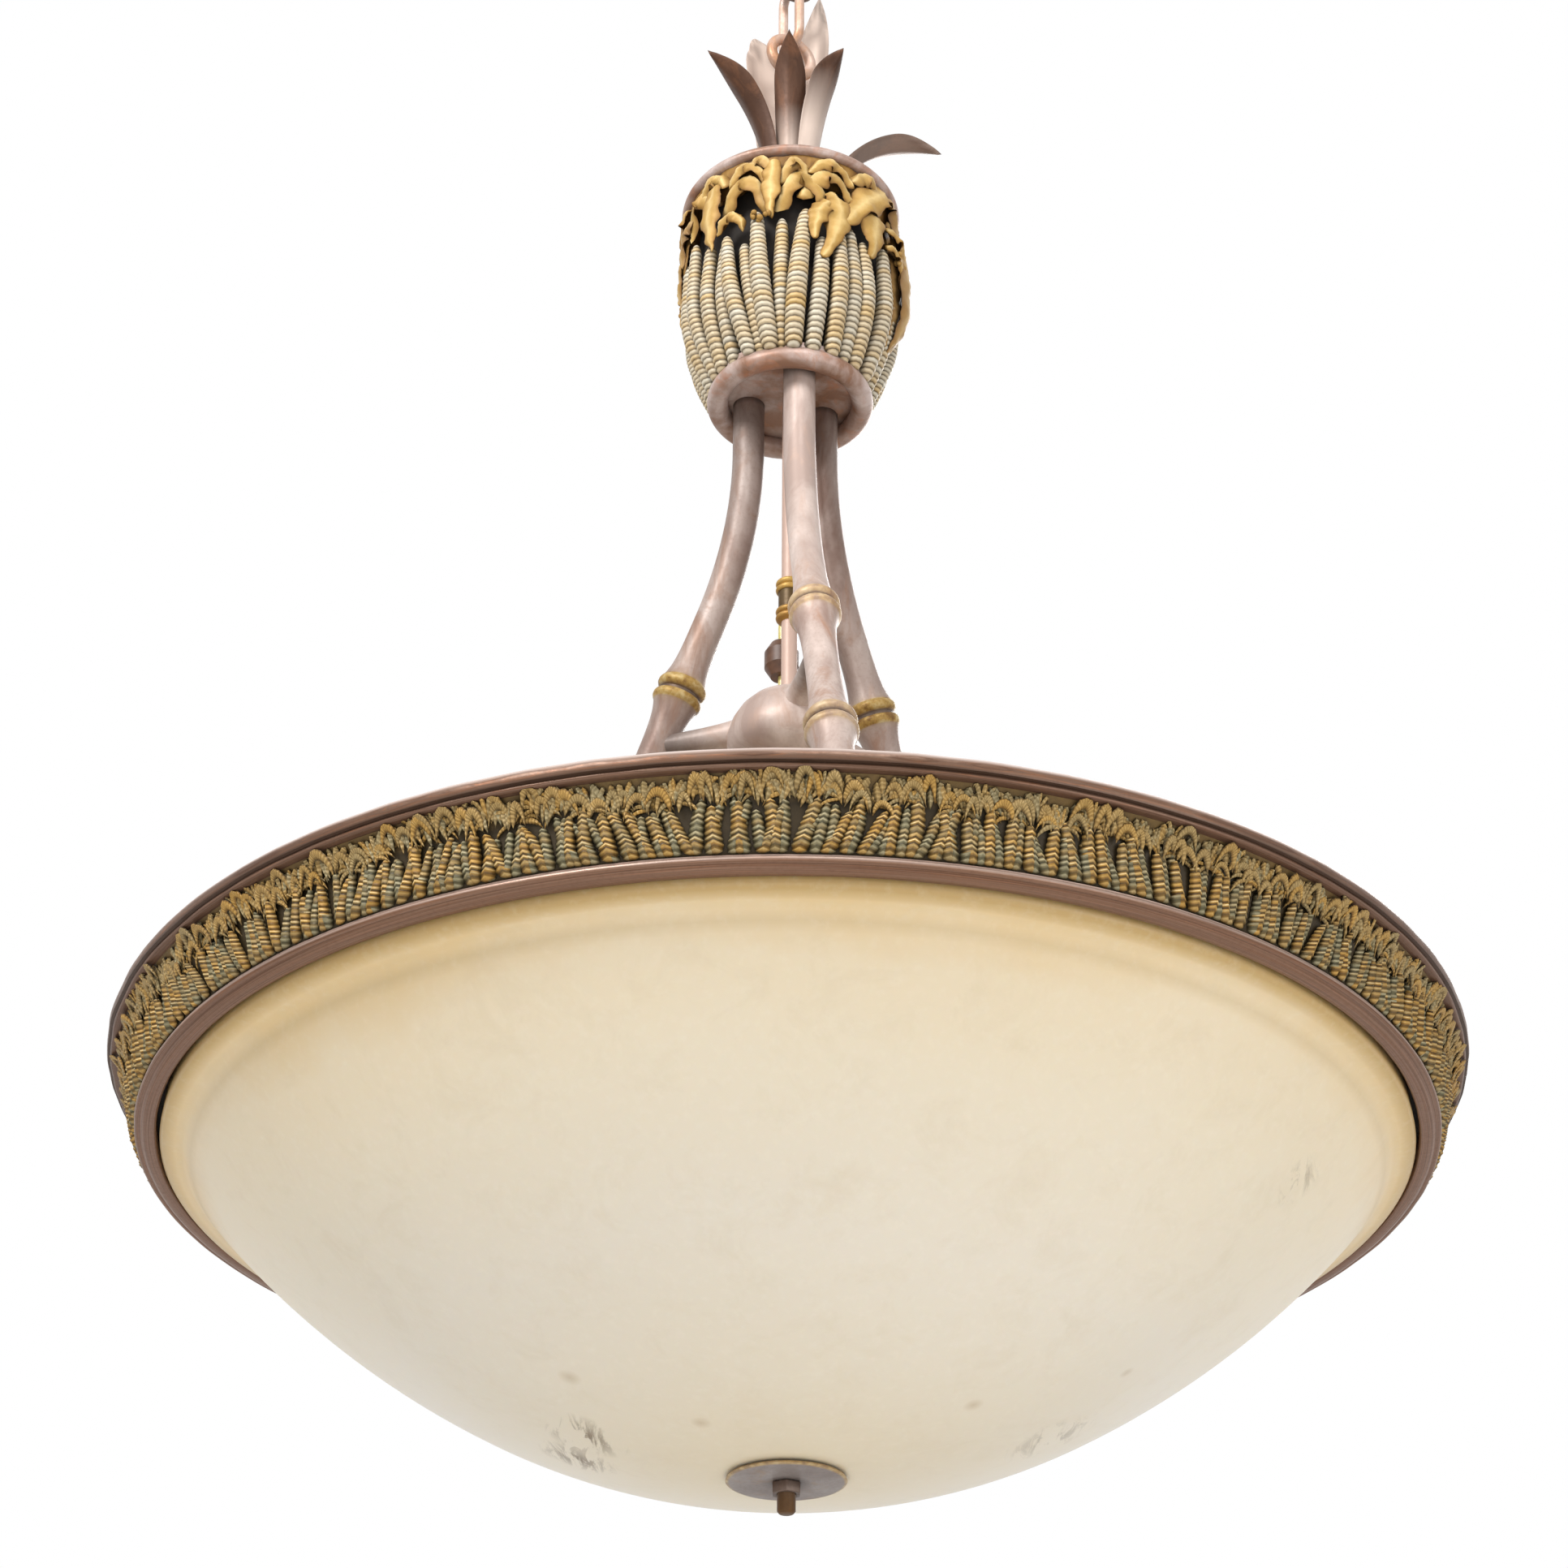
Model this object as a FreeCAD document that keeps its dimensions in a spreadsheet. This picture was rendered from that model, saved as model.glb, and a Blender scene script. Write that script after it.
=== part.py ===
import FreeCAD, Part
import math
import os
import re
import Sketcher

doc = FreeCAD.newDocument("chandelier")
Vector = FreeCAD.Vector
upright = Vector(0, 0, 1)
sideways = Vector(0, 1, 0)

# Driving sizes in millimetres and degrees. Levels are heights above the plane of the ring's top edge.
driving = [
    # hanging chain
    ("collar_radius", 9), ("collar_height", 16), ("thread_radius", 4.8), ("thread_depth", 14),
    ("eye_radius", 16), ("eye_wire", 4), ("link_wire", 3.5), ("link_bow", 11.5), ("link_length", 62),
    ("chain_gap", 0.3), ("chain_turn", 30), ("neck_height", 14), ("crown_height", 123),
    # urn
    ("plate_level", 509), ("plate_height", 5), ("urn_height", 142), ("urn_radius", 71), ("urn_wall", 4),
    ("waist_rise", 42), ("shoulder_rise", 84), ("foot_draw", 19), ("urn_draw", 3), ("urn_round", 60),
    ("cap_lip", 4), ("cap_height", 11), ("base_inset", 4.1), ("base_bead", 7), ("base_flat", 5),
    ("palm_radius", 5.4), ("palm_count", 27), ("palm_rise", 100),
    ("frond_depth", 13), ("frond_count", 14), ("frond_gap", 4), ("frond_root", 20), ("frond_lip", 3),
    ("notch_half", 7), ("notch_height", 26),
    # crown
    ("crown_foot", 12), ("crown_foot_height", 8), ("crown_taper", 30), ("crown_draw", 1), ("leaf_inset", 55),
    ("leaf_height", 244), ("leaf_wall", 4.4),
    # arms and rod
    ("arm_radius", 10.5), ("arm_wall", 2.5), ("arm_bearing", -78), ("arm_gap", 1.7), ("arm_straight", 46),
    ("arm_bend", 350), ("arm_slope", 21), ("arm_low_bend", 80), ("foot_height", 15), ("foot_radius", 18),
    ("node_radius", 16.5), ("node_drop", 53.6), ("node_pitch", 109), ("node_length", 40), ("node_skin", 0.4),
    ("node_flare", 1.5), ("node_groove", 3), ("node_ring", 5),
    ("rod_radius", 5), ("rod_tip", 10.3), ("rod_tail", 16), ("coupling_rise", 71), ("coupling_half", 16),
    ("coupling_ring", 8), ("coupling_waist", 2.5), ("coupling_wall", 4), ("coupling_slope", 2),
    # wire and lamps
    ("wire_radius", 2.3), ("wire_bend", 8), ("wire_bearing", 104),
    ("splice_radius", 11), ("splice_gap", 3.3), ("splice_rise", 26), ("splice_height", 25),
    ("splice_taper", 4), ("splice_slope", 7),
    ("hub_low", 222), ("hub_height", 52), ("hub_radius", 30), ("hub_round", 14), ("hub_drop", 12),
    ("hub_taper", 6), ("hub_slope", 10),
    ("strut_rise", 30), ("strut_root", 14), ("strut_radius", 7), ("lamp_tilt", 13), ("lamp_root", 18),
    ("lamp_stem_radius", 5), ("lamp_stem_length", 170), ("holder_radius", 19), ("holder_length", 54),
    ("socket_radius", 13.2), ("socket_depth", 26), ("bulb_cap_radius", 13), ("bulb_radius", 30),
    ("bulb_length", 84), ("bulb_wall", 1.5), ("bulb_neck", 14), ("bulb_flare", 1),
    # ring
    ("ring_radius", 381), ("rim_bead", 5.5), ("rim_top", 1), ("rim_flange", 5), ("rim_width", 31),
    ("rim_overlap", 6), ("band_inset", 29), ("band_wall", 4.5), ("ledge_width", 11), ("ledge_drop", 36),
    ("ledge_wall", 3), ("ring_low", 46), ("frieze_set", 15), ("frieze_draw", 6), ("canopy_drop", 13),
    ("canopy_round", 9), ("canopy_reach", 9), ("trunk_radius", 3.6), ("trunk_height", 26),
    ("trunk_slope", 13), ("trunk_lean", 24), ("trunk_proud", 2.5), ("trunk_foot", 2.5), ("trunk_count", 48),
    ("low_height", 6), ("low_width", 12), ("low_round", 1.5), ("low_edge", 4), ("low_lip", 2.5),
    ("gasket_wall", 2.5), ("gasket_inset", 1),
    ("spoke_width", 30), ("spoke_wall", 6), ("spoke_plate", 24), ("spoke_gap", 0.5),
    ("screw_radius", 4.5), ("screw_height", 3), ("screw_inset", 7),
    # bowl and finial
    ("bowl_gap", 2.5), ("bowl_wall", 6), ("bowl_low", 221), ("bowl_flat", 30), ("bowl_round", 395),
    ("bowl_flank", 545), ("flank_width", 145), ("bowl_rise", 47.6), ("lip_inset", 14.5),
    ("bowl_lip_drop", 57.9),
    ("bowl_hole", 8), ("bowl_step", 2), ("bowl_edge", 8), ("part_gap", 0.3), ("turn_gap", 0.05),
    ("felt_wall", 1.2), ("felt_inset", 4), ("pad_wall", 2), ("disc_radius", 32.6), ("disc_wall", 2.2),
    ("nut_radius", 8.5), ("nut_height", 6),
]
sizes = doc.addObject("Spreadsheet::Sheet", "Sizes")
for row, (alias, value) in enumerate(driving, 1):
    sizes.set("A%d" % row, alias)
    sizes.set("B%d" % row, str(value))
    sizes.setAlias("B%d" % row, alias)
doc.recompute()


def bound(text):
    return re.sub(r"\b([a-z]+(?:_[a-z]+)+)\b", r"Sizes.\1", str(text))


def number(text):
    found = sizes.evalExpression(bound(text))
    return float(getattr(found, "Value", found))


# Levels and radii worked out from the driving sizes
urn_low = "(plate_level + plate_height)"
urn_top = "(" + urn_low + " + urn_height)"
cap_top = "(" + urn_top + " + cap_height)"
urn_foot = "(urn_radius - foot_draw)"
base_ring = "(" + urn_foot + " - base_inset)"
arm_top = "(" + base_ring + " - base_bead - arm_radius - arm_gap)"
hub_top = "(hub_low + hub_height)"
coupling_level = "(" + hub_top + " + coupling_rise)"
wire_reach = "(rod_radius + splice_radius + splice_gap)"
band_inner = "(ring_radius - band_inset)"
band_outer = "(" + band_inner + " + band_wall)"
low_inner = "(" + band_inner + " - low_lip)"
bowl_lip = "(" + low_inner + " - lip_inset)"

# Levels along the hanging axis, measured down from the mouth of the ceiling thread
upper_bar = "-(collar_height + 2 * eye_radius)"
link_top = upper_bar + " + eye_wire + chain_gap + link_wire"
link_low = link_top + " - link_length"
lower_bar = link_low + " + link_wire + chain_gap + eye_wire"
neck_low = lower_bar + " - 2 * eye_radius - neck_height"
ring_plane = neck_low + " - crown_height - " + cap_top

# The arm's line: upright at the top, one wide bend, a straight slope, and a short bend back to upright
bend_top = "(" + urn_low + " - arm_straight)"
bend_out = "(" + arm_top + " + arm_bend * (1 - cos(arm_slope)))"
bend_low = "(" + bend_top + " - arm_bend * sin(arm_slope))"
foot_top = "(-ledge_drop + ledge_wall + spoke_wall + foot_height)"
slope_low = "(" + foot_top + " + arm_low_bend * sin(arm_slope))"
slope_out = "(" + bend_out + " + (" + bend_low + " - " + slope_low + ") * tan(arm_slope))"
foot_out = "(" + slope_out + " + arm_low_bend * (1 - cos(arm_slope)))"


def armAt(level):
    return "(" + bend_out + " + (" + bend_low + " - (" + level + ")) * tan(arm_slope))"


def origin(body, role):
    for feature in body.Origin.OriginFeatures:
        if feature.Role == role:
            return feature


def newBody(label):
    body = doc.addObject("PartDesign::Body", label)
    body.Label = label
    return body


def newSketch(body, name, role):
    sketch = body.newObject("Sketcher::SketchObject", name)
    sketch.AttachmentSupport = [(origin(body, role), "")]
    sketch.MapMode = "FlatFace"
    return sketch


def bind(sketch, kind, parts, text):
    index = sketch.addConstraint(Sketcher.Constraint(kind, *parts, number(text)))
    sketch.setExpression("Constraints[%d]" % index, bound(text))


def arcBetween(start, end, radius, turn):
    # turn is 1 for a left-hand arc and -1 for a right-hand arc; 2 and -2 take the long way round
    chord = end - start
    radius = max(radius, chord.Length / 2)
    rise = math.sqrt(max(radius ** 2 - (chord.Length / 2) ** 2, 0))
    left = Vector(-chord.y, chord.x, 0).normalize()
    side = math.copysign(1, turn) * (1 if abs(turn) == 1 else -1)
    middle = (start + end) * 0.5 + left * rise * side
    first, last = (start, end) if turn > 0 else (end, start)
    angles = [math.atan2(point.y - middle.y, point.x - middle.x) for point in (first, last)]
    if angles[1] <= angles[0]:
        angles[1] += 2 * math.pi
    return Part.ArcOfCircle(Part.Circle(middle, upright, radius), angles[0], angles[1])


def drawOutline(sketch, outline, closed=True):
    # each point is (across, up) or (across, up, radius, turn); the last two bend the edge that follows it
    places = [Vector(number(point[0]), number(point[1]), 0) for point in outline]
    count = len(outline) if closed else len(outline) - 1
    ends = []
    for index in range(count):
        point = outline[index]
        start, end = places[index], places[(index + 1) % len(places)]
        if len(point) == 2:
            edge = sketch.addGeometry(Part.LineSegment(start, end))
            ends.append((edge, 1, 2))
        else:
            edge = sketch.addGeometry(arcBetween(start, end, number(point[2]), point[3]))
            ends.append((edge, 1, 2) if point[3] > 0 else (edge, 2, 1))
            bind(sketch, "Radius", (edge,), point[2])
    for index in range(count - 1 + closed):
        edge, before, after = ends[index]
        following = ends[(index + 1) % count]
        sketch.addConstraint(Sketcher.Constraint("Coincident", edge, after, following[0], following[1]))
    for index, point in enumerate(outline):
        edge, before, after = ends[min(index, count - 1)]
        corner = before if index < count else after
        bind(sketch, "DistanceX", (-1, 1, edge, corner), point[0])
        bind(sketch, "DistanceY", (-1, 1, edge, corner), point[1])


def drawCircles(sketch, circles):
    for across, up, radius in circles:
        middle = Vector(number(across), number(up), 0)
        edge = sketch.addGeometry(Part.Circle(middle, upright, number(radius)))
        bind(sketch, "Radius", (edge,), radius)
        bind(sketch, "DistanceX", (-1, 1, edge, 3), across)
        bind(sketch, "DistanceY", (-1, 1, edge, 3), up)


def place(piece, level="0", bearing=None, across=None, away=None, axis=upright):
    if bearing is not None:
        piece.Placement.Rotation = FreeCAD.Rotation(axis, number(bearing))
        piece.setExpression("Placement.Rotation.Angle", bound(bearing))
    if across is not None:
        piece.setExpression("Placement.Base.x", bound(across))
    if away is not None:
        piece.setExpression("Placement.Base.y", bound(away))
    piece.setExpression("Placement.Base.z", bound(level))
    return piece


def turned(label, outline):
    body = newBody(label)
    sketch = newSketch(body, label + "_outline", "XZ_Plane")
    drawOutline(sketch, outline)
    revolve = body.newObject("PartDesign::Revolution", label + "_turned")
    revolve.Profile = sketch
    revolve.ReferenceAxis = (sketch, ["V_Axis"])
    revolve.Angle = 360
    sketch.Visibility = False
    return body


def padded(label, draw, shapes, height):
    body = newBody(label)
    sketch = newSketch(body, label + "_outline", "XY_Plane")
    draw(sketch, shapes)
    pad = body.newObject("PartDesign::Pad", label + "_pad")
    pad.Profile = sketch
    pad.setExpression("Length", bound(height))
    return body


def swept(label, path, role, shift, circles):
    # the path lies in the XZ plane, and the round section stands on the given plane at the path's start
    body = newBody(label)
    spine = newSketch(body, label + "_path", "XZ_Plane")
    drawOutline(spine, path, closed=False)
    section = newSketch(body, label + "_section", role)
    section.setExpression("AttachmentOffset.Base.z", bound(shift))
    drawCircles(section, circles)
    pipe = body.newObject("PartDesign::AdditivePipe", label + "_pipe")
    pipe.Profile = section
    pipe.Spine = (spine, ["Edge%d" % (index + 1) for index in range(len(path) - 1)])
    return body


def repeated(body, feature, name, count):
    pattern = body.newObject("PartDesign::PolarPattern", name)
    pattern.Originals = [feature]
    pattern.Axis = (origin(body, "Z_Axis"), [""])
    pattern.Angle = 360
    pattern.setExpression("Occurrences", bound(count))
    body.Tip = pattern
    return body


def cylinder(name, radius, height):
    piece = doc.addObject("Part::Cylinder", name)
    piece.setExpression("Radius", bound(radius))
    piece.setExpression("Height", bound(height))
    return piece


def joined(label, pieces):
    group = doc.addObject("Part::MultiFuse", label)
    group.Shapes = pieces
    group.Refine = True
    return group


def cut(label, base, tool):
    piece = doc.addObject("Part::Cut", label)
    piece.Base = base
    piece.Tool = tool
    return piece


def grouped(label, pieces):
    group = doc.addObject("Part::Compound", label)
    group.Links = pieces
    return group


def torus(name, radius, wire, sweep, level, tilt):
    piece = doc.addObject("Part::Torus", name)
    piece.setExpression("Radius1", bound(radius))
    piece.setExpression("Radius2", bound(wire))
    piece.Angle3 = sweep
    return place(piece, level, tilt, axis=Vector(1, 0, 0))


# Hanging chain
def ceilingLoop():
    eye = torus("ceiling_eye", "eye_radius", "eye_wire", 360, "-collar_height - eye_radius", "90")
    collar = place(cylinder("ceiling_collar", "collar_radius", "collar_height + eye_wire / 2"),
                   "-collar_height - eye_wire / 2")
    thread = place(cylinder("ceiling_thread", "thread_radius", "thread_depth"), "-thread_depth")
    return place(cut("ceiling_loop", joined("ceiling_casting", [eye, collar]), thread), "0", "chain_turn")


def chainLink():
    upper = torus("link_upper_bow", "link_bow", "link_wire", 180, link_top + " - link_bow", "90")
    lower = torus("link_lower_bow", "link_bow", "link_wire", 180, link_low + " + link_bow", "-90")
    legs = []
    for name, across in (("link_left_leg", "-link_bow"), ("link_right_leg", "link_bow")):
        leg = cylinder(name, "link_wire", "link_length - 2 * link_bow")
        legs.append(place(leg, link_low + " + link_bow", across=across))
    return place(joined("chain_link", [upper, lower] + legs), "0", "chain_turn + 90")


def fixtureLoop():
    eye = torus("fixture_eye", "eye_radius", "eye_wire", 360, lower_bar + " - eye_radius", "90")
    neck = place(cylinder("fixture_neck", "collar_radius", "neck_height + eye_wire / 2"), neck_low)
    return place(joined("fixture_loop", [eye, neck]), "0", "chain_turn")


# Crown: a turned stem and cast leaves, each on its own bent midrib
leaves = [
    # bearing; as shares of the leaf height: elbow outward and up, tip outward and up, half width;
    # and the tip's share of that width
    (210, -0.033, 0.41, 0.209, 0.516, 0.049, 0.1),
    (120, 0.016, 0.615, 0.057, 0.82, 0.07, 0.5),
    (268, -0.016, 0.39, 0.119, 0.557, 0.045, 0.1),
    (315, 0.016, 0.41, 0.148, 0.516, 0.043, 0.1),
    (2, 0.135, 0.443, 0.369, 0.258, 0.045, 0.1),
    (50, 0.09, 0.533, 0.139, 1, 0.049, 0.1),
]
leaf_stations = 6
leaf_stalk_share = 0.42
leaf_widest = 0.7


def crownStem():
    foot, top = cap_top, cap_top + " + crown_height"
    return turned("crown_stem", [
        ("0", foot), ("crown_foot", foot), ("crown_foot", foot + " + crown_foot_height"),
        ("collar_radius - crown_draw", foot + " + crown_taper"), ("collar_radius", top), ("0", top)])


def crownLeaf(label, bearing, elbowOut, elbowUp, tipOut, tipUp, halfWidth, tipShare):
    height = number("leaf_height")
    base = Vector(number("urn_radius - leaf_inset"), 0, number(cap_top))
    elbow = base + Vector(elbowOut, 0, elbowUp) * height
    tip = base + Vector(tipOut, 0, tipUp) * height
    sections = []
    for station in range(leaf_stations):
        along = station / (leaf_stations - 1)
        spot = base * (1 - along) ** 2 + elbow * (2 * along * (1 - along)) + tip * along ** 2
        run = (elbow - base) * (1 - along) + (tip - elbow) * along
        face = Vector(run.z, 0, -run.x).normalize() if station else Vector(1, 0, 0)
        rising = min(along / leaf_widest, 1)
        falling = max(along - leaf_widest, 0) / (1 - leaf_widest)
        swell = leaf_stalk_share + (1 - leaf_stalk_share) * math.sin(math.pi * rising / 2)
        width = height * halfWidth * max(swell * math.cos(math.pi * falling / 2), tipShare)
        wall = number("leaf_wall") / 2 * (1 - along / 2)
        corners = [spot + sideways * width, spot + face * wall, spot - sideways * width, spot - face * wall]
        sections.append(Part.makePolygon(corners + corners[:1]))
    leaf = doc.addObject("Part::Feature", label)
    leaf.Shape = Part.makeLoft(sections, True, True)
    return place(leaf, ring_plane, bearing)


# Urn
def urnCap():
    flat, bead = "urn_radius + cap_lip - cap_height / 2", "cap_height / 2"
    return turned("urn_cap", [
        ("0", urn_top), (flat, urn_top, bead, 1), (flat + " + " + bead, urn_top + " + " + bead, bead, 1),
        (flat, cap_top), ("0", cap_top)])


def urnBody():
    waist, inside = "urn_radius - urn_draw", "urn_radius - urn_wall"
    waistUp, shoulder = urn_low + " + waist_rise", urn_low + " + shoulder_rise"
    body = turned("urn_body", [
        (urn_foot, urn_low, "urn_round", 1), (waist, waistUp), ("urn_radius", shoulder),
        ("urn_radius", urn_top), (inside, urn_top), (inside, shoulder),
        (waist + " - urn_wall", waistUp, "urn_round", -1),
        (urn_foot + " - urn_wall", urn_low)])
    spine = newSketch(body, "palm_path", "XZ_Plane")
    drawOutline(spine, [(urn_foot, urn_low, "urn_round", 1), (waist, waistUp), ("urn_radius", shoulder),
                        ("urn_radius", urn_low + " + palm_rise")], closed=False)
    section = newSketch(body, "palm_section", "XY_Plane")
    section.setExpression("AttachmentOffset.Base.z", bound(urn_low))
    drawCircles(section, [(urn_foot, "0", "palm_radius")])
    palm = body.newObject("PartDesign::AdditivePipe", "palm_trunk")
    palm.Profile = section
    palm.Spine = (spine, ["Edge1", "Edge2", "Edge3"])
    return repeated(body, palm, "palm_trunks", "palm_count")


def urnFronds():
    top, low = urn_top + " - frond_gap", urn_low + " + shoulder_rise + frond_gap"
    crest, reach = top + " - frond_root - frond_gap", "urn_radius + frond_depth"
    body = turned("urn_fronds", [
        ("urn_radius", top + " - frond_root"), (reach + " - 2 * frond_gap", low + " + frond_root"),
        (reach + " - frond_gap", low), (reach + " - frond_gap + frond_lip", low), (reach, crest),
        ("urn_radius + frond_gap", top), ("urn_radius", top)])
    notch = newSketch(body, "frond_notch", "XZ_Plane")
    foot = low + " - frond_gap"
    drawOutline(notch, [("-notch_half", foot), ("notch_half", foot), ("0", low + " + notch_height")])
    pocket = body.newObject("PartDesign::Pocket", "frond_notch_cut")
    pocket.Profile = notch
    pocket.setExpression("Length", bound(reach + " + frond_gap"))
    return repeated(body, pocket, "frond_notches", "frond_count")


def urnBaseRing():
    half = "sqrt(base_bead ^ 2 - base_flat ^ 2)"
    return turned("urn_base_ring", [
        (base_ring + " - " + half, "plate_level", "base_bead", 2), (base_ring + " + " + half, "plate_level")])


def urnBasePlate():
    holes = [("0", "0", urn_foot), ("0", "0", "rod_radius")]
    for bearing in armBearings():
        holes.append((arm_top + " * cos(%s)" % bearing, arm_top + " * sin(%s)" % bearing, "arm_radius"))
    return padded("urn_base_plate", drawCircles, holes, "plate_height")


# Arms
def armBearings():
    return ["(arm_bearing + %d)" % (120 * index) for index in range(3)]


def arm(label, hollow=True):
    path = [(arm_top, urn_low), (arm_top, bend_top, "arm_bend", 1), (bend_out, bend_low),
            (slope_out, slope_low, "arm_low_bend", -1), (foot_out, foot_top)]
    section = [(arm_top, "0", "arm_radius"), (arm_top, "0", "arm_radius - arm_wall")]
    return swept(label, path, "XY_Plane", urn_low, section if hollow else section[:1])


def armCollars(label):
    half, ring, groove = "node_length / 2", "node_radius", "node_radius - node_groove"
    skin, flare = "arm_radius + node_skin", "node_radius - node_flare"
    far, near, floor = "node_groove + node_ring", "node_groove", "node_groove - node_flare"
    pieces = []
    for index in range(3):
        level = bend_low + " - node_drop - node_pitch * %d" % index
        collar = turned("%s_ring_%d" % (label, index + 1), [
            ("arm_radius", "-" + half), (skin, "-" + half), (flare, "-(%s)" % far), (ring, "-(%s)" % far),
            (ring, "-(%s)" % near), (groove, "-(%s)" % floor), (groove, floor), (ring, near), (ring, far),
            (flare, far), (skin, half), ("arm_radius", half)])
        pieces.append(place(collar, level, "-arm_slope", across=armAt(level), axis=sideways))
    return grouped(label, pieces)


def armFoot(label):
    low = "-ledge_drop + ledge_wall + spoke_wall"
    return turned(label, [
        ("0", low), ("foot_radius", low), ("foot_radius", low + " + foot_height / 4"),
        ("foot_radius * 0.8", low + " + foot_height / 2"), ("(foot_radius + arm_radius) / 2", foot_top),
        ("0", foot_top)])


# Rod, wire and lamps
def rodCoupling():
    ring, waist = "rod_radius + coupling_wall", "rod_radius + coupling_waist"
    low, top = coupling_level + " - coupling_half", coupling_level + " + coupling_half"
    return turned("rod_coupling", [
        ("rod_radius", low), (ring, low), (ring, low + " + coupling_ring"),
        (waist, low + " + coupling_ring + coupling_slope"),
        (waist, top + " - coupling_ring - coupling_slope"),
        (ring, top + " - coupling_ring"), (ring, top), ("rod_radius", top)])


def lampWire():
    start = "rod_radius + coupling_waist"
    path = [(start, coupling_level), (wire_reach + " - wire_bend", coupling_level, "wire_bend", -1),
            (wire_reach, coupling_level + " - wire_bend"), (wire_reach, hub_top)]
    return swept("lamp_wire", path, "YZ_Plane", start, [("0", coupling_level, "wire_radius")])


def wireConnector():
    low = hub_top + " + splice_rise"
    top = low + " + splice_height"
    end = "splice_radius - splice_taper"
    return turned("wire_connector", [
        ("wire_radius", low), (end, low), ("splice_radius", low + " + splice_slope"),
        ("splice_radius", top + " - splice_slope"), (end, top), ("wire_radius", top)])


def hubDome():
    flat = wire_reach + " + wire_radius + chain_gap"
    return turned("hub_dome", [
        ("rod_radius", "hub_low"), ("hub_radius - hub_taper", "hub_low"),
        ("hub_radius", "hub_low + hub_slope"), ("hub_radius", hub_top + " - hub_drop", "hub_round", 1),
        (flat, hub_top), ("rod_radius", hub_top)])


def struts():
    bars = []
    for index, bearing in enumerate(armBearings()):
        bar = doc.addObject("Part::Cone", "strut_bar_%d" % (index + 1))
        bar.setExpression("Radius1", bound("strut_root"))
        bar.setExpression("Radius2", bound("strut_radius"))
        bar.setExpression("Height", bound(armAt("hub_low + strut_rise") + " - hub_radius / 2"))
        place(bar, "hub_low + strut_rise", "90", across="hub_radius / 2", axis=sideways)
        bars.append(place(grouped("strut_%d" % (index + 1), [bar]), ring_plane, bearing))
    return bars


def alongLamp(piece, distance):
    place(piece, "hub_low - (%s) * cos(lamp_tilt)" % distance, "180 - lamp_tilt",
          across="lamp_root + (%s) * sin(lamp_tilt)" % distance, axis=sideways)
    return piece


def lampBearings():
    return ["(arm_bearing + %d)" % (60 + 120 * index) for index in range(3)]


def lampStem(label, dome):
    tube = cylinder(label + "_tube", "lamp_stem_radius", "lamp_stem_length + 2 * lamp_stem_radius")
    alongLamp(tube, "-2 * lamp_stem_radius")
    return cut(label, tube, dome)


def lampholder(label):
    shell = alongLamp(cylinder(label + "_shell", "holder_radius", "holder_length"), "lamp_stem_length")
    socket = alongLamp(cylinder(label + "_socket", "socket_radius", "socket_depth + part_gap"),
                       "lamp_stem_length + holder_length - socket_depth")
    return cut(label, shell, socket)


def bulbCap(label):
    cap = cylinder(label + "_thread", "bulb_cap_radius", "socket_depth - part_gap")
    return grouped(label, [alongLamp(cap, "lamp_stem_length + holder_length - socket_depth + part_gap")])


def bulb(label):
    neck, wide = "bulb_cap_radius + bulb_flare", "bulb_radius"
    inside, round_in = "bulb_length - bulb_radius", "bulb_radius - bulb_wall"
    glass = turned(label + "_glass", [
        (neck + " - bulb_wall", "0"), (neck, "0"), (neck + " + bulb_flare", "bulb_neck"),
        (wide, inside, wide, 1), ("0", "bulb_length"), ("0", "bulb_length - bulb_wall", round_in, -1),
        (round_in, inside), (neck + " + bulb_flare - bulb_wall", "bulb_neck")])
    return grouped(label, [alongLamp(glass, "lamp_stem_length + holder_length + part_gap")])


# Spokes and ring
def spoke(label):
    near, far, half = "spoke_width / 2 + spoke_gap", band_inner + " - spoke_gap", "spoke_width / 2"
    return padded(label, drawOutline, [(near, "-" + half), (far, "-" + half), (far, half), (near, half)],
                  "spoke_wall")


def spokeScrews(spokeLevel):
    heads = []
    for bearing in armBearings():
        for side in (-1, 1):
            turn = "(%s + (%d))" % (bearing, side)
            head = cylinder("screw_head_%d" % (len(heads) + 1), "screw_radius", "screw_height")
            across = "(%s - screw_inset) * cos(%s)" % (band_inner, turn)
            away = "(%s - screw_inset) * sin(%s)" % (band_inner, turn)
            heads.append(place(head, spokeLevel, across=across, away=away))
    return grouped("spoke_screws", heads)


def upperRim():
    bead, inner = "ring_radius - rim_bead", "ring_radius - rim_width"
    low, flange = "rim_top - 2 * rim_bead", "rim_top - rim_flange"
    back = band_outer + " + rim_overlap"
    return turned("upper_rim", [
        (inner, flange), (back, flange), (back, low), (bead, low, "rim_bead", 1),
        ("ring_radius", "rim_top - rim_bead", "rim_bead", 1), (bead, "rim_top"), (inner, "rim_top")])


def ringBand():
    ledge, top = band_inner + " - ledge_width", "rim_top - rim_flange"
    shelf, under = "-ledge_drop + ledge_wall", "-ledge_drop"
    return turned("ring_band", [
        (band_inner, "-ring_low"), (band_outer, "-ring_low"), (band_outer, top), (band_inner, top),
        (band_inner, shelf), (ledge, shelf), (ledge, under), (band_inner, under)])


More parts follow.
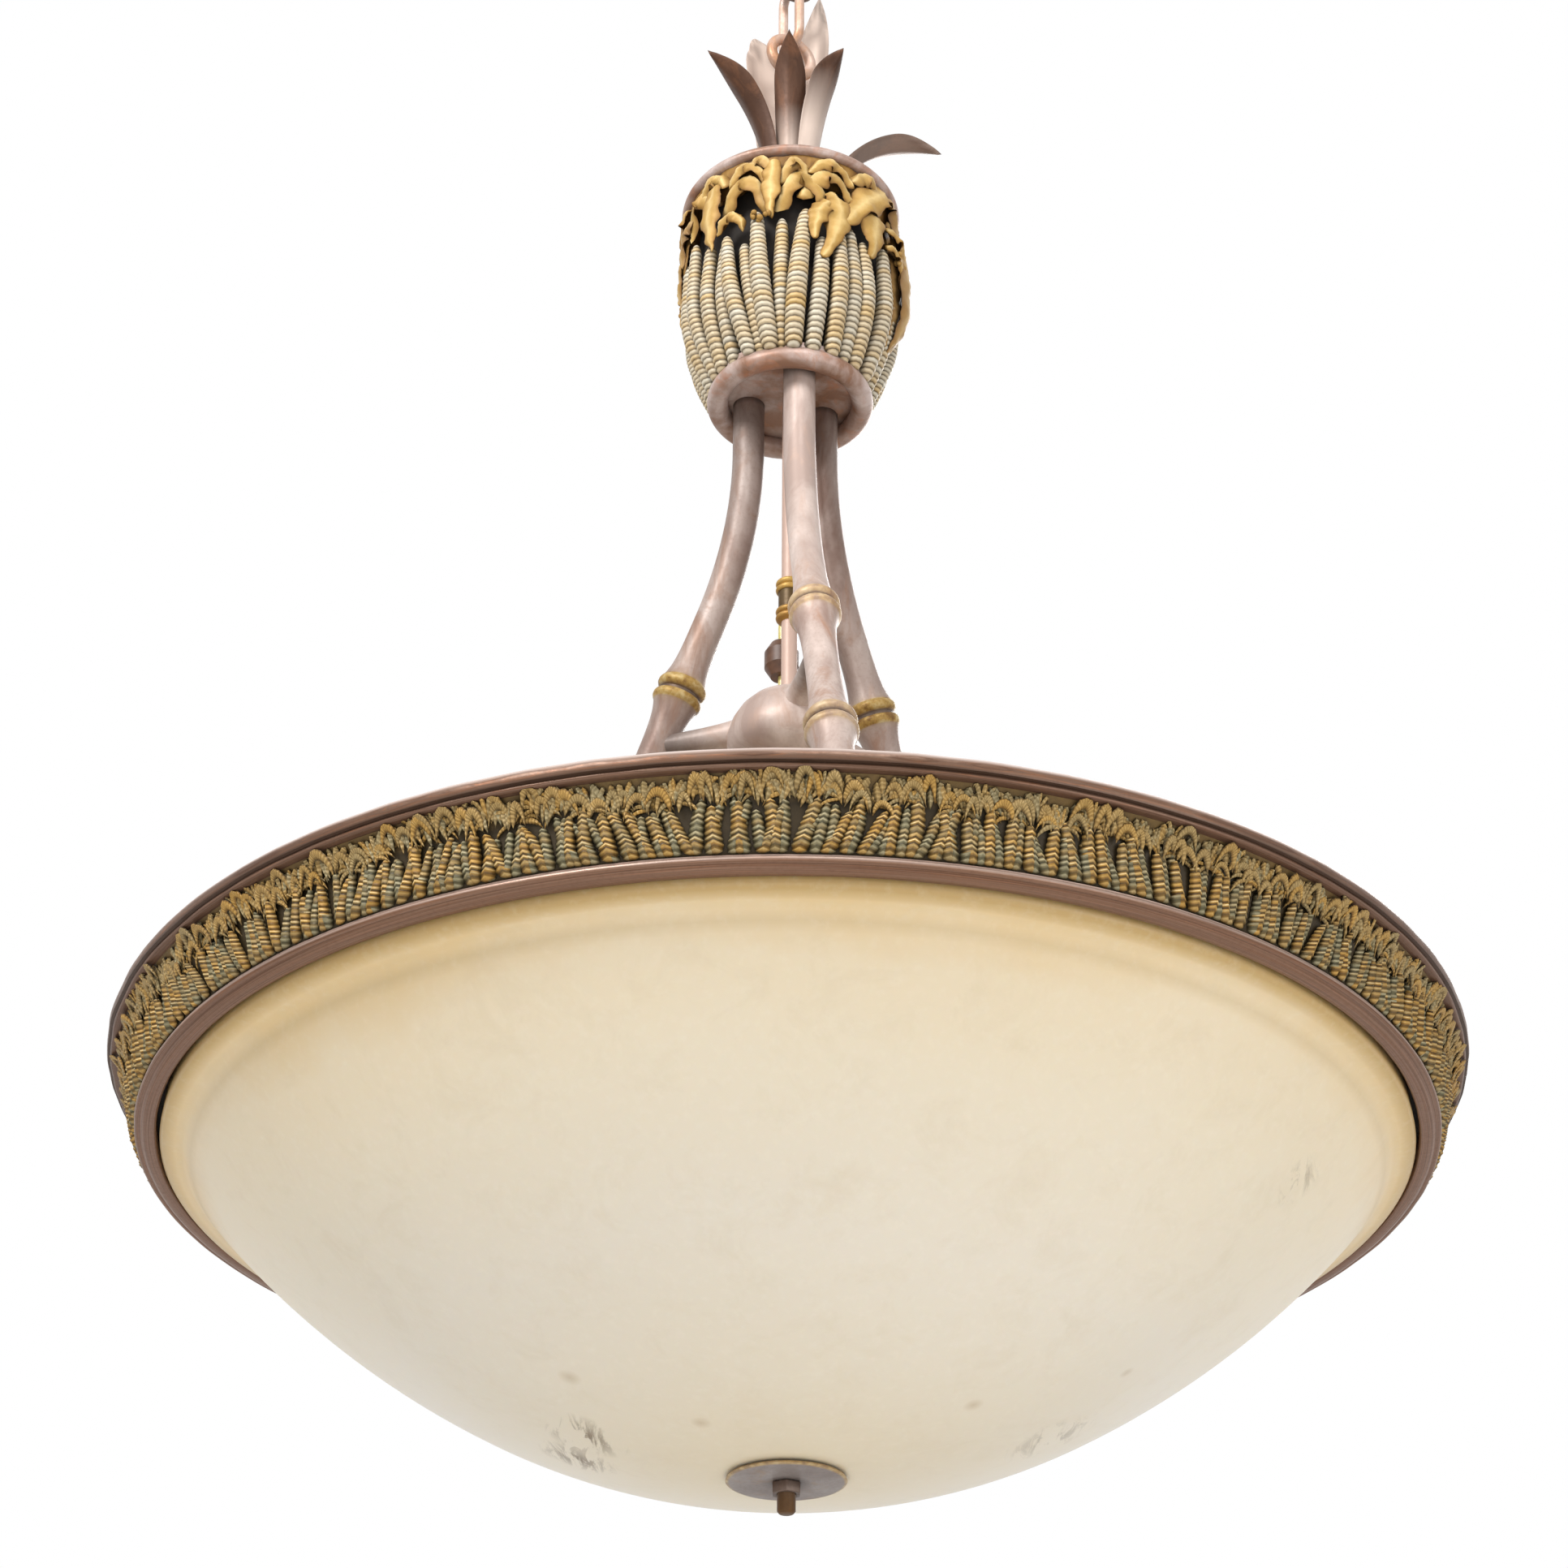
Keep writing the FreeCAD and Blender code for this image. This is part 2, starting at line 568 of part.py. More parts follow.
def friezePalms(body, name, lean, away):
    # one leaning trunk that stands half out of the band, repeated round it
    trunk = body.newObject("PartDesign::AdditiveCylinder", name)
    trunk.setExpression("Radius", bound("trunk_radius"))
    trunk.setExpression("Height", bound("trunk_height"))
    slope = FreeCAD.Rotation(sideways, number("trunk_slope"))
    trunk.Placement.Rotation = FreeCAD.Rotation(Vector(1, 0, 0), number(lean)) * slope
    trunk.setExpression("Placement.Base.x", bound("ring_radius - frieze_set - frieze_draw + trunk_proud"))
    trunk.setExpression("Placement.Base.y", bound(away))
    trunk.setExpression("Placement.Base.z", bound("-ring_low + trunk_foot"))
    return repeated(body, trunk, name + "_row", "trunk_count")


def friezeCasting():
    outer, top = "ring_radius - frieze_set", "rim_top - 2 * rim_bead"
    body = turned("frieze_casting", [
        (band_outer, "-ring_low"), (outer + " - frieze_draw", "-ring_low"),
        (outer, top + " - canopy_drop", "canopy_round", 1), (outer + " + canopy_reach", top),
        (band_outer, top)])
    friezePalms(body, "left_palm", "trunk_lean", "0")
    return friezePalms(body, "right_palm", "-trunk_lean / 2", "pi * ring_radius / trunk_count")


def lowerRim():
    face, outer = "-ring_low - low_height", low_inner + " + low_width"
    return turned("lower_rim", [
        (low_inner, "-ring_low"), (low_inner, face + " + low_round", "low_round", 1),
        (low_inner + " + low_round", face), (outer + " - low_edge", face, "low_edge", 1),
        (outer, face + " + low_edge"), (outer, "-ring_low")])


def rimGasket():
    top, low = "-ledge_drop", "-ledge_drop - gasket_wall"
    near, far = band_inner + " - ledge_width + gasket_inset", band_inner + " - gasket_inset"
    return turned("rim_gasket", [(near, low), (far, low), (far, top), (near, top)])


# Bowl, washers and nut
def glassBowl():
    low, floor = "-bowl_low", "-bowl_low + bowl_wall"
    rim, top = "(" + low_inner + " - bowl_gap)", "-ledge_drop - gasket_wall - part_gap"
    waist, step = "(" + bowl_lip + " - flank_width)", bowl_lip + " + bowl_step"
    waistIn, waistUp = waist + " - bowl_wall * 0.48", "-bowl_low + bowl_rise + bowl_wall * 0.88"
    lipIn, lipUp = bowl_lip + " - bowl_wall * 0.75", "-bowl_lip_drop + bowl_wall * 0.66"
    edgeOut, edgeIn = rim + " - bowl_step / 2", rim + " - bowl_wall - bowl_step / 2"
    return turned("glass_bowl", [
        ("bowl_hole", low), ("bowl_flat", low, "bowl_round", 1),
        (waist, "-bowl_low + bowl_rise", "bowl_flank", 1), (bowl_lip, "-bowl_lip_drop"),
        (step, "-bowl_lip_drop + bowl_step / 4"), (edgeOut, top + " - bowl_edge"),
        (rim, top), (rim + " - bowl_wall", top), (edgeIn, top + " - bowl_edge * 0.75"),
        (lipIn, lipUp, "bowl_flank - bowl_wall", -1), (waistIn, waistUp, "bowl_round - bowl_wall", -1),
        ("bowl_flat", floor), ("bowl_hole", floor)])


def washer(label, outer, low, wall):
    inner = "rod_radius + part_gap"
    top = "(%s) + %s" % (low, wall)
    return turned(label, [(inner, low), (outer, low), (outer, top), (inner, top)])


def finialNut():
    body = newBody("finial_nut")
    sketch = newSketch(body, "nut_outline", "XY_Plane")
    turns = [60 * index for index in range(6)]
    drawOutline(sketch, [("nut_radius * cos(%d)" % turn, "nut_radius * sin(%d)" % turn) for turn in turns])
    drawCircles(sketch, [("0", "0", "rod_radius + turn_gap")])
    pad = body.newObject("PartDesign::Pad", "nut_pad")
    pad.Profile = sketch
    pad.setExpression("Length", bound("nut_height"))
    return body


# Assembly
nodes = [ceilingLoop(), chainLink(), fixtureLoop(), place(crownStem(), ring_plane)]
for index, settings in enumerate(leaves):
    nodes.append(crownLeaf("crown_leaf_%d" % (index + 1), *settings))
nodes.append(place(urnCap(), ring_plane))
nodes.append(place(urnBody(), ring_plane))
nodes.append(place(urnFronds(), ring_plane))
nodes.append(place(urnBaseRing(), ring_plane))
nodes.append(place(urnBasePlate(), ring_plane + " + plate_level"))

sockets = []
spoke_low = ring_plane + " - ledge_drop + ledge_wall"
for index, bearing in enumerate(armBearings()):
    nodes.append(place(arm("arm_%d" % (index + 1)), ring_plane, bearing))
    sockets.append(place(arm("strut_socket_%d" % (index + 1), hollow=False), ring_plane, bearing))
    nodes.append(place(armCollars("arm_collars_%d" % (index + 1)), ring_plane, bearing))
    foot = armFoot("arm_foot_%d" % (index + 1))
    nodes.append(place(foot, ring_plane, across=foot_out + " * cos(%s)" % bearing,
                       away=foot_out + " * sin(%s)" % bearing))
    nodes.append(place(spoke("spoke_%d" % (index + 1)), spoke_low, bearing))

rod_low = "(-bowl_low - felt_wall - disc_wall - part_gap - nut_height - rod_tip)"
rod_length = urn_low + " + rod_tail - " + rod_low
nodes.append(place(cylinder("center_rod", "rod_radius", rod_length), ring_plane + " + " + rod_low))
nodes.append(place(rodCoupling(), ring_plane))
nodes.append(place(lampWire(), ring_plane, "wire_bearing"))
nodes.append(place(wireConnector(), ring_plane, across=wire_reach + " * cos(wire_bearing)",
                   away=wire_reach + " * sin(wire_bearing)"))
dome = hubDome()
placed_dome = place(grouped("placed_dome", [dome]), ring_plane)
sockets.append(place(cylinder("hub_bore", "rod_radius", hub_top), ring_plane + " + hub_low / 2"))
hub_casting = joined("hub_casting", [placed_dome] + struts())
nodes.append(cut("spreader_hub", hub_casting, joined("hub_sockets", sockets)))
for index, bearing in enumerate(lampBearings()):
    nodes.append(place(lampStem("lamp_stem_%d" % (index + 1), dome), ring_plane, bearing))
    nodes.append(place(lampholder("lampholder_%d" % (index + 1)), ring_plane, bearing))
    nodes.append(place(bulbCap("bulb_cap_%d" % (index + 1)), ring_plane, bearing))
    nodes.append(place(bulb("bulb_%d" % (index + 1)), ring_plane, bearing))

plate_circles = [("0", "0", "spoke_plate"), ("0", "0", "rod_radius")]
spoke_top = spoke_low + " + spoke_wall"
nodes.append(place(padded("spider_plate", drawCircles, plate_circles, "spoke_wall"), spoke_top))
nodes.append(spokeScrews(spoke_top))
for piece in (upperRim(), ringBand(), friezeCasting(), lowerRim(), rimGasket(), glassBowl()):
    nodes.append(place(piece, ring_plane))
felt_low = "-bowl_low - felt_wall"
disc_low = felt_low + " - disc_wall"
washers = [
    washer("bowl_washer_upper", "bowl_flat - felt_inset", "-bowl_low + bowl_wall", "pad_wall"),
    washer("bowl_washer_lower", "bowl_flat - felt_inset", felt_low, "felt_wall"),
    washer("cover_disc", "disc_radius", disc_low, "disc_wall"),
]
nodes.extend(place(piece, ring_plane) for piece in washers)
nodes.append(place(finialNut(), ring_plane + " + " + disc_low + " - part_gap - nut_height"))
doc.recompute()

# Checks and export
os.makedirs("parts", exist_ok=True)
for item in doc.Objects:
    if "Invalid" in item.State or "Error" in item.State:
        raise RuntimeError("not computed: " + item.Name)
print("wire bend radius", number("wire_bend"), "arm bends", number("arm_bend"), number("arm_low_bend"))
for piece in nodes:
    shape = piece.Shape
    if shape.isNull() or not shape.isValid():
        raise RuntimeError("bad shape: " + piece.Label)
    shape.exportStep("parts/%s.step" % piece.Label)
    print("%-20s solids %d volume %.1f" % (piece.Label, len(shape.Solids), shape.Volume))
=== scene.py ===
import math
import random
import bmesh
import bpy
from mathutils import Matrix, Vector, noise


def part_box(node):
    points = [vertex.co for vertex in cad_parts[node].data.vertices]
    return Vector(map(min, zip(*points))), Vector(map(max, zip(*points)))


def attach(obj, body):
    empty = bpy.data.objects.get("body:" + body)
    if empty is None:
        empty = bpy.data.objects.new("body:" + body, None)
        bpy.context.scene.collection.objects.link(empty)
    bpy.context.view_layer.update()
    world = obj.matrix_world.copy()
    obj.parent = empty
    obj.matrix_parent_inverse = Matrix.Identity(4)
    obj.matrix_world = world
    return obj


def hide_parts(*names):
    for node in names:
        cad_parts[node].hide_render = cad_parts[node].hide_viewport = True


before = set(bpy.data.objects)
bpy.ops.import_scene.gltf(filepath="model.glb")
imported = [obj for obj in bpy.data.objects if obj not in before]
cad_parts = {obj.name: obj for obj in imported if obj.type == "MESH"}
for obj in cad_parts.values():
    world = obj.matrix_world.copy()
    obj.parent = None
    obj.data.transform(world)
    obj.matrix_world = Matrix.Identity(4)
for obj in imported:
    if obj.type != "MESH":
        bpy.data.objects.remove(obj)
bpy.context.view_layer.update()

mm = 0.001
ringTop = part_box("upper_rim")[1][2] - mm  # all pieces are drawn in mm above this plane
toRow = Matrix.Translation((0, 0, ringTop)) @ Matrix.Scale(mm, 4)
print("frame loaded, ring plane at", round(ringTop, 4))


def level(node, top=True):
    return (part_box(node)[1 if top else 0][2] - ringTop) / mm


def pick(source, *names):
    return [source[name] for name in names]


# shader helpers
def newMaterial(name):
    mat = bpy.data.materials.new(name)
    mat.use_nodes = True
    tree = mat.node_tree
    shader = tree.nodes["Principled BSDF"]
    return mat, tree, shader


def addNode(tree, kind, **values):
    node = tree.nodes.new(kind)
    for key, value in values.items():
        setattr(node, key, value)
    return node


def setSockets(node, values):
    for name, value in values.items():
        node.inputs[name].default_value = value


def noiseFrom(tree, source, scale, detail=4, rough=0.55, distort=0.0, across=None):
    tex = addNode(tree, "ShaderNodeTexNoise")
    if across:
        tex.noise_dimensions = "4D"
        tree.links.new(across, tex.inputs["W"])
    setSockets(tex, {"Scale": scale, "Detail": detail, "Roughness": rough, "Distortion": distort})
    tree.links.new(source, tex.inputs["Vector"])
    return tex.outputs["Fac"]


def ramp(tree, source, stops):
    node = addNode(tree, "ShaderNodeValToRGB")
    band = node.color_ramp
    while len(band.elements) < len(stops):
        band.elements.new(0.5)
    for element, (spot, color) in zip(band.elements, stops):
        element.position = spot
        element.color = (*color, 1)
    tree.links.new(source, node.inputs["Fac"])
    return node.outputs["Color"]


def grey(tree, source, low, high, fromLow=0.0, fromHigh=1.0):
    node = addNode(tree, "ShaderNodeMapRange")
    setSockets(node, {"From Min": fromLow, "From Max": fromHigh, "To Min": low, "To Max": high})
    tree.links.new(source, node.inputs["Value"])
    return node.outputs["Result"]


def mixColor(tree, factor, first, second):
    node = addNode(tree, "ShaderNodeMix", data_type="RGBA")
    for value, slot in ((factor, 0), (first, 6), (second, 7)):
        if isinstance(value, (int, float)):
            node.inputs[slot].default_value = value
        elif isinstance(value, tuple):
            node.inputs[slot].default_value = (*value, 1)
        else:
            tree.links.new(value, node.inputs[slot])
    return node.outputs[2]


def maths(tree, kind, first, second=None):
    node = addNode(tree, "ShaderNodeMath", operation=kind)
    for index, value in enumerate((first, second)):
        if isinstance(value, (int, float)):
            node.inputs[index].default_value = value
        elif value is not None:
            tree.links.new(value, node.inputs[index])
    return node.outputs["Value"]


def attribute(tree, name):
    return addNode(tree, "ShaderNodeAttribute", attribute_name=name).outputs["Fac"]


def bump(tree, shader, height, strength, distance=0.001):
    node = addNode(tree, "ShaderNodeBump")
    setSockets(node, {"Strength": strength, "Distance": distance})
    tree.links.new(height, node.inputs["Height"])
    tree.links.new(node.outputs["Normal"], shader.inputs["Normal"])


def objectCoords(tree):
    return addNode(tree, "ShaderNodeTexCoord").outputs["Object"]


def stretched(tree, source, scale):
    node = addNode(tree, "ShaderNodeMapping")
    setSockets(node, {"Scale": scale})
    tree.links.new(source, node.inputs["Vector"])
    return node.outputs["Vector"]


# antique bronze in several strengths: brown ground, lilac-grey bloom, warm rubbed streaks, and a near-black
# brown for painted shade
bronzeSet = {"brush": 160.0, "patch": 22, "streak": 55, "grain": 420, "paintedShade": (0.03, 0.018, 0.012)}


def bronze(name, ground, bloom, warm, bloomShare=0.5, stretch=(1, 1, 1), metal=0.35, rough=0.42, gold=False,
           pale=None, brushed=False, sheen=0.35):
    mat, tree, shader = newMaterial(name)
    spot = objectCoords(tree)
    long = stretched(tree, spot, stretch)
    across = maths(tree, "MULTIPLY", attribute(tree, "reach"), bronzeSet["brush"]) if brushed else None
    large = noiseFrom(tree, long, bronzeSet["patch"], 5, 0.6, 0.4, across)
    fine = noiseFrom(tree, spot, bronzeSet["grain"], 3, 0.6)
    body = ramp(tree, large, [(0.5 - bloomShare * 0.3, ground), (0.5 + bloomShare * 0.25, bloom)])
    streak = noiseFrom(tree, long, bronzeSet["streak"], 4, 0.65, 1.0, across)
    body = mixColor(tree, grey(tree, streak, 0, 0.75, 0.52, 0.72), body, warm)
    body = mixColor(tree, grey(tree, fine, 0, 0.28, 0.5, 0.8), body, ground)
    # the lift attribute mixes in the pale tone: painted highlight and light on the rims, crown leaves and
    # front arm, and a plain paler finish on the rod and hub
    if pale:
        body = mixColor(tree, attribute(tree, "lift"), body, pale)
    if gold:
        body = mixColor(tree, attribute(tree, "gold"), body, goldColor(tree, spot))
        # painted shade: the shade attribute mixes in the near-black brown where shadow falls
        body = mixColor(tree, attribute(tree, "shade"), body, bronzeSet["paintedShade"])
    tree.links.new(body, shader.inputs["Base Color"])
    setSockets(shader, {"Metallic": metal, "Specular IOR Level": sheen})
    tree.links.new(grey(tree, fine, rough - 0.08, rough + 0.12), shader.inputs["Roughness"])
    bump(tree, shader, fine, 0.18, 0.0004)
    return mat


giltStops = [(0.36, (0.26, 0.135, 0.033)), (0.5, (0.53, 0.33, 0.09)), (0.66, (0.75, 0.58, 0.28))]


def goldColor(tree, spot):
    return ramp(tree, noiseFrom(tree, spot, 130, 4, 0.6), giltStops)


# painted relief: two paint sets mixed by the gold attribute, ring lines, and a dark patina in the hollows
# that is partly real and partly painted shade
def relief(name, paint):
    mat, tree, shader = newMaterial(name)
    spot = objectCoords(tree)
    grain = noiseFrom(tree, spot, paint["grain"], 5, 0.65)
    ring = maths(tree, "SINE", maths(tree, "MULTIPLY", attribute(tree, "along"), paint["rings"]))
    # the lift attribute sets the tone along the ramp; on leaves and trunks it carries painted highlight and
    # shade
    height = maths(tree, "ADD", attribute(tree, "lift"), maths(tree, "MULTIPLY", ring, paint["ringDepth"]))
    height = maths(tree, "ADD", height, grey(tree, grain, -0.2, 0.2))
    cool, warm = ramp(tree, height, paint["cool"]), ramp(tree, height, paint["warm"])
    tone = mixColor(tree, attribute(tree, "gold"), cool, warm)
    # occlusion darkening as painted shade in the hollows; the shade attribute adds painted shade on the
    # frieze wall
    hollow = addNode(tree, "ShaderNodeAmbientOcclusion", samples=6)
    hollow.inputs["Distance"].default_value = paint["reach"]
    tone = mixColor(tree, grey(tree, hollow.outputs["AO"], 0.9, 0, 0.2, paint["open"]), tone, paint["patinaAndShade"])
    tone = mixColor(tree, attribute(tree, "shade"), tone, paint["patinaAndShade"])
    tree.links.new(tone, shader.inputs["Base Color"])
    tree.links.new(grey(tree, grain, 0.38, 0.6), shader.inputs["Roughness"])
    setSockets(shader, {"Metallic": 0.1, "Specular IOR Level": 0.25})
    bump(tree, shader, maths(tree, "ADD", ring, grain), 0.5, 0.0005)
    return mat


def scuffMask(tree, spot, place, size, grain):
    gap = addNode(tree, "ShaderNodeVectorMath", operation="DISTANCE")
    gap.inputs[1].default_value = (place[0] * mm, place[1] * mm, ringTop + place[2] * mm)
    tree.links.new(spot, gap.inputs[0])
    near = grey(tree, gap.outputs["Value"], 1, 0, 0, size * mm)
    return maths(tree, "MULTIPLY", near, grain)


# opaque glass: each streak has a place, a size and a strength, each spot a place and a size
glassSet = {
    "streaks": (((-107, -22, -206), 27, 1.0), ((-113, 20, -204), 25, 1.0),
                ((143, 14, -194), 30, 0.6), ((264, -120, -100), 18, 0.6)),
    "spots": (((-111, -84, -196), 7), ((-44, -66, -214), 6), ((96, -67, -204), 6), ((180, -40, -178), 5)),
    "step": 0.95, "stepWidth": 0.011, "stepTone": (0.46, 0.34, 0.17), "edgeTone": (0.42, 0.27, 0.09),
    "mottleTone": (0.56, 0.45, 0.29), "speckTone": (0.9, 0.85, 0.75),
    "streakTone": (0.13, 0.075, 0.027), "spotTone": (0.4, 0.27, 0.13),
    "sockets": {"Subsurface Weight": 0.25, "Subsurface Radius": (0.02, 0.012, 0.006),
                "Specular IOR Level": 0.3, "Coat Weight": 0.06, "Coat Roughness": 0.25},
    "stops": [(0.1, (0.67, 0.57, 0.41)), (0.35, (0.69, 0.61, 0.48)), (0.6, (0.71, 0.64, 0.53)),
              (0.8, (0.73, 0.64, 0.49)), (0.91, (0.735, 0.62, 0.44)), (0.98, (0.69, 0.51, 0.27))],
}


# amber towards the edge, with a darker line at the turned step
def glassGround(tree, spot):
    reach = attribute(tree, "reach")
    cloud = noiseFrom(tree, spot, 5.5, 5, 0.55, 0.3)
    spread = maths(tree, "ADD", reach, grey(tree, cloud, -0.1, 0.1))
    tone = ramp(tree, spread, glassSet["stops"])
    tone = mixColor(tree, grey(tree, reach, 0, 0.75, 0.975, 0.995), tone, glassSet["edgeTone"])
    step = maths(tree, "ABSOLUTE", maths(tree, "SUBTRACT", reach, glassSet["step"]))
    tone = mixColor(tree, grey(tree, step, 0.3, 0, 0, glassSet["stepWidth"]), tone, glassSet["stepTone"])
    mottle = noiseFrom(tree, spot, 34, 6, 0.7, 0.6)
    return mixColor(tree, grey(tree, mottle, 0, 0.22, 0.5, 0.75), tone, glassSet["mottleTone"])


def glassScuffs(tree, spot, tone):
    long = stretched(tree, spot, (1, 0.22, 0.5))
    scratch = grey(tree, noiseFrom(tree, long, 120, 5, 0.7, 0.9), 0, 1, 0.5, 0.6)
    for place, size, strength in glassSet["streaks"]:
        streak = maths(tree, "MULTIPLY", scratch, strength)
        tone = mixColor(tree, scuffMask(tree, spot, place, size, streak), tone, glassSet["streakTone"])
    for place, size in glassSet["spots"]:
        tone = mixColor(tree, scuffMask(tree, spot, place, size, 0.5), tone, glassSet["spotTone"])
    return tone


def bowlGlass():
    mat, tree, shader = newMaterial("bowlGlass")
    spot = objectCoords(tree)
    speck = noiseFrom(tree, spot, 190, 3, 0.6)
    tone = mixColor(tree, grey(tree, speck, 0, 0.1, 0.5, 0.8), glassGround(tree, spot), glassSet["speckTone"])
    tree.links.new(glassScuffs(tree, spot, tone), shader.inputs["Base Color"])
    tree.links.new(grey(tree, speck, 0.3, 0.42), shader.inputs["Roughness"])
    setSockets(shader, glassSet["sockets"])
    bump(tree, shader, speck, 0.06, 0.0006)
    return mat


def lampGlass():
    mat, tree, shader = newMaterial("lampGlass")
    frost = noiseFrom(tree, objectCoords(tree), 300, 3)
    tone = ramp(tree, frost, [(0.3, (0.8, 0.8, 0.77)), (0.7, (0.88, 0.88, 0.85))])
    tree.links.new(tone, shader.inputs["Base Color"])
    setSockets(shader, {"Roughness": 0.25, "Transmission Weight": 0.2})
    return mat


def plainSpeckle(name, dark, light, scale, rough, metal=0.0, depth=0.2):
    mat, tree, shader = newMaterial(name)
    grain = noiseFrom(tree, objectCoords(tree), scale, 4, 0.6)
    tree.links.new(ramp(tree, grain, [(0.35, dark), (0.65, light)]), shader.inputs["Base Color"])
    tree.links.new(grey(tree, grain, rough - 0.06, rough + 0.08), shader.inputs["Roughness"])
    setSockets(shader, {"Metallic": metal})
    bump(tree, shader, grain, depth, 0.0003)
    return mat


friezePaint = {
    "grain": 300, "rings": 2990.0, "ringDepth": 0.1, "reach": 0.006, "open": 0.62,
    "patinaAndShade": (0.018, 0.013, 0.006),
    "warm": [(0.1, (0.05, 0.028, 0.009)), (0.45, (0.24, 0.125, 0.027)), (0.8, (0.5, 0.29, 0.07)),
             (1.0, (0.76, 0.6, 0.32))],
    "cool": [(0.1, (0.045, 0.038, 0.018)), (0.55, (0.17, 0.148, 0.078)), (1.0, (0.42, 0.37, 0.23))],
}
trunkPaint = {
    "grain": 260, "rings": 1.0, "ringDepth": 0.0, "reach": 0.012, "open": 0.75,
    "patinaAndShade": (0.02, 0.015, 0.01),
    "warm": [(0.1, (0.1, 0.06, 0.025)), (0.5, (0.42, 0.26, 0.085)), (0.95, (0.68, 0.5, 0.25))],
    "cool": [(0.1, (0.09, 0.075, 0.055)), (0.5, (0.44, 0.385, 0.285)), (0.95, (0.72, 0.66, 0.54))],
}
palmPaint = {
    "grain": 110, "rings": 1.0, "ringDepth": 0.0, "reach": 0.014, "open": 0.85,
    "patinaAndShade": (0.06, 0.027, 0.007),
    "warm": [(0.1, (0.12, 0.05, 0.01)), (0.42, (0.29, 0.15, 0.033)), (0.72, (0.47, 0.285, 0.08)),
             (1.0, (0.68, 0.49, 0.21))],
    "cool": [(0.1, (0.1, 0.05, 0.02)), (0.6, (0.25, 0.135, 0.05)), (1.0, (0.42, 0.26, 0.1))],
}
mats = {
    "rim": bronze("rimBronze", (0.1, 0.04, 0.018), (0.25, 0.145, 0.095), (0.38, 0.13, 0.04), 0.6,
                  (0.25, 0.25, 7), rough=0.36, gold=True, pale=(0.78, 0.66, 0.6), brushed=True),
    "bamboo": bronze("bambooBronze", (0.25, 0.15, 0.115), (0.62, 0.505, 0.45), (0.37, 0.2, 0.125), 0.42,
                     (1, 1, 0.3), metal=0.15, rough=0.42, gold=True, sheen=0.22, pale=(0.82, 0.72, 0.66)),
    "leaf": bronze("leafBronze", (0.05, 0.022, 0.012), (0.125, 0.062, 0.038), (0.16, 0.07, 0.035), 0.45,
                   (1, 1, 0.25), metal=0.2, gold=True, pale=(0.72, 0.585, 0.5), sheen=0.18),
    "urnMetal": bronze("urnBronze", (0.26, 0.14, 0.09), (0.56, 0.45, 0.41), (0.44, 0.19, 0.1), 0.4,
                       metal=0.25),
    "dark": bronze("darkBronze", (0.07, 0.045, 0.033), (0.2, 0.14, 0.11), (0.16, 0.09, 0.055), 0.4),
    "disc": bronze("discBronze", (0.19, 0.15, 0.135), (0.31, 0.27, 0.25), (0.27, 0.17, 0.1), 0.5, gold=True),
    "rod": bronze("rodBronze", (0.04, 0.018, 0.006), (0.12, 0.06, 0.022), (0.13, 0.055, 0.012), 0.5,
                  (1, 1, 0.3), metal=0.1, sheen=0.2, pale=(0.56, 0.4, 0.33)),
    "link": bronze("linkBronze", (0.4, 0.21, 0.12), (0.72, 0.56, 0.48), (0.62, 0.32, 0.16), 0.5),
    "gold": bronze("giltPaint", (0.36, 0.19, 0.045), (0.62, 0.42, 0.13), (0.5, 0.28, 0.06), 0.5, gold=True),
    "frieze": relief("friezePaint", friezePaint),
    "trunk": relief("trunkPaint", trunkPaint),
    "palm": relief("palmPaint", palmPaint),
    "glass": bowlGlass(),
    "lamp": lampGlass(),
    "black": plainSpeckle("blackResin", (0.012, 0.011, 0.01), (0.025, 0.023, 0.02), 500, 0.35),
    "brown": plainSpeckle("brownResin", (0.07, 0.03, 0.015), (0.14, 0.065, 0.035), 90, 0.45),
    "wire": plainSpeckle("clearWire", (0.55, 0.46, 0.13), (0.72, 0.63, 0.25), 160, 0.25),
    # near black: the urn's core painted as the shade between the trunks
    "core": plainSpeckle("coreShade", (0.008, 0.005, 0.003), (0.02, 0.013, 0.008), 200, 0.85),
    "felt": plainSpeckle("feltGrey", (0.035, 0.03, 0.027), (0.08, 0.07, 0.06), 900, 0.9, 0.0, 0.6),
    "shell": plainSpeckle("screwShell", (0.5, 0.49, 0.46), (0.68, 0.67, 0.64), 240, 0.3, 0.9),
}
print("materials made", len(mats))


# mesh helpers
def newMesh():
    bm = bmesh.new()
    for name in ("lift", "along", "shade", "gold", "reach"):
        bm.verts.layers.float.new(name)
    return bm


def tag(bm, verts, **values):
    for name, value in values.items():
        layer = bm.verts.layers.float[name]
        for vert in verts:
            vert[layer] = value(vert) if callable(value) else value


def gridOn(bm, across, along, spot):
    made = bmesh.ops.create_grid(bm, x_segments=across, y_segments=along, size=1)["verts"]
    for vert in made:
        vert.co = spot(vert, vert.co.x, (vert.co.y + 1) / 2)


def spun(bm, outline, steps, closed=True):
    points = [bm.verts.new((reach, 0, up)) for reach, up in outline]
    pairs = list(zip(points, points[1:])) + ([(points[-1], points[0])] if closed else [])
    edges = [bm.edges.new(pair) for pair in pairs]
    bmesh.ops.spin(bm, geom=points + edges, axis=(0, 0, 1), cent=(0, 0, 0), angle=math.tau, steps=steps,
                   use_merge=True)


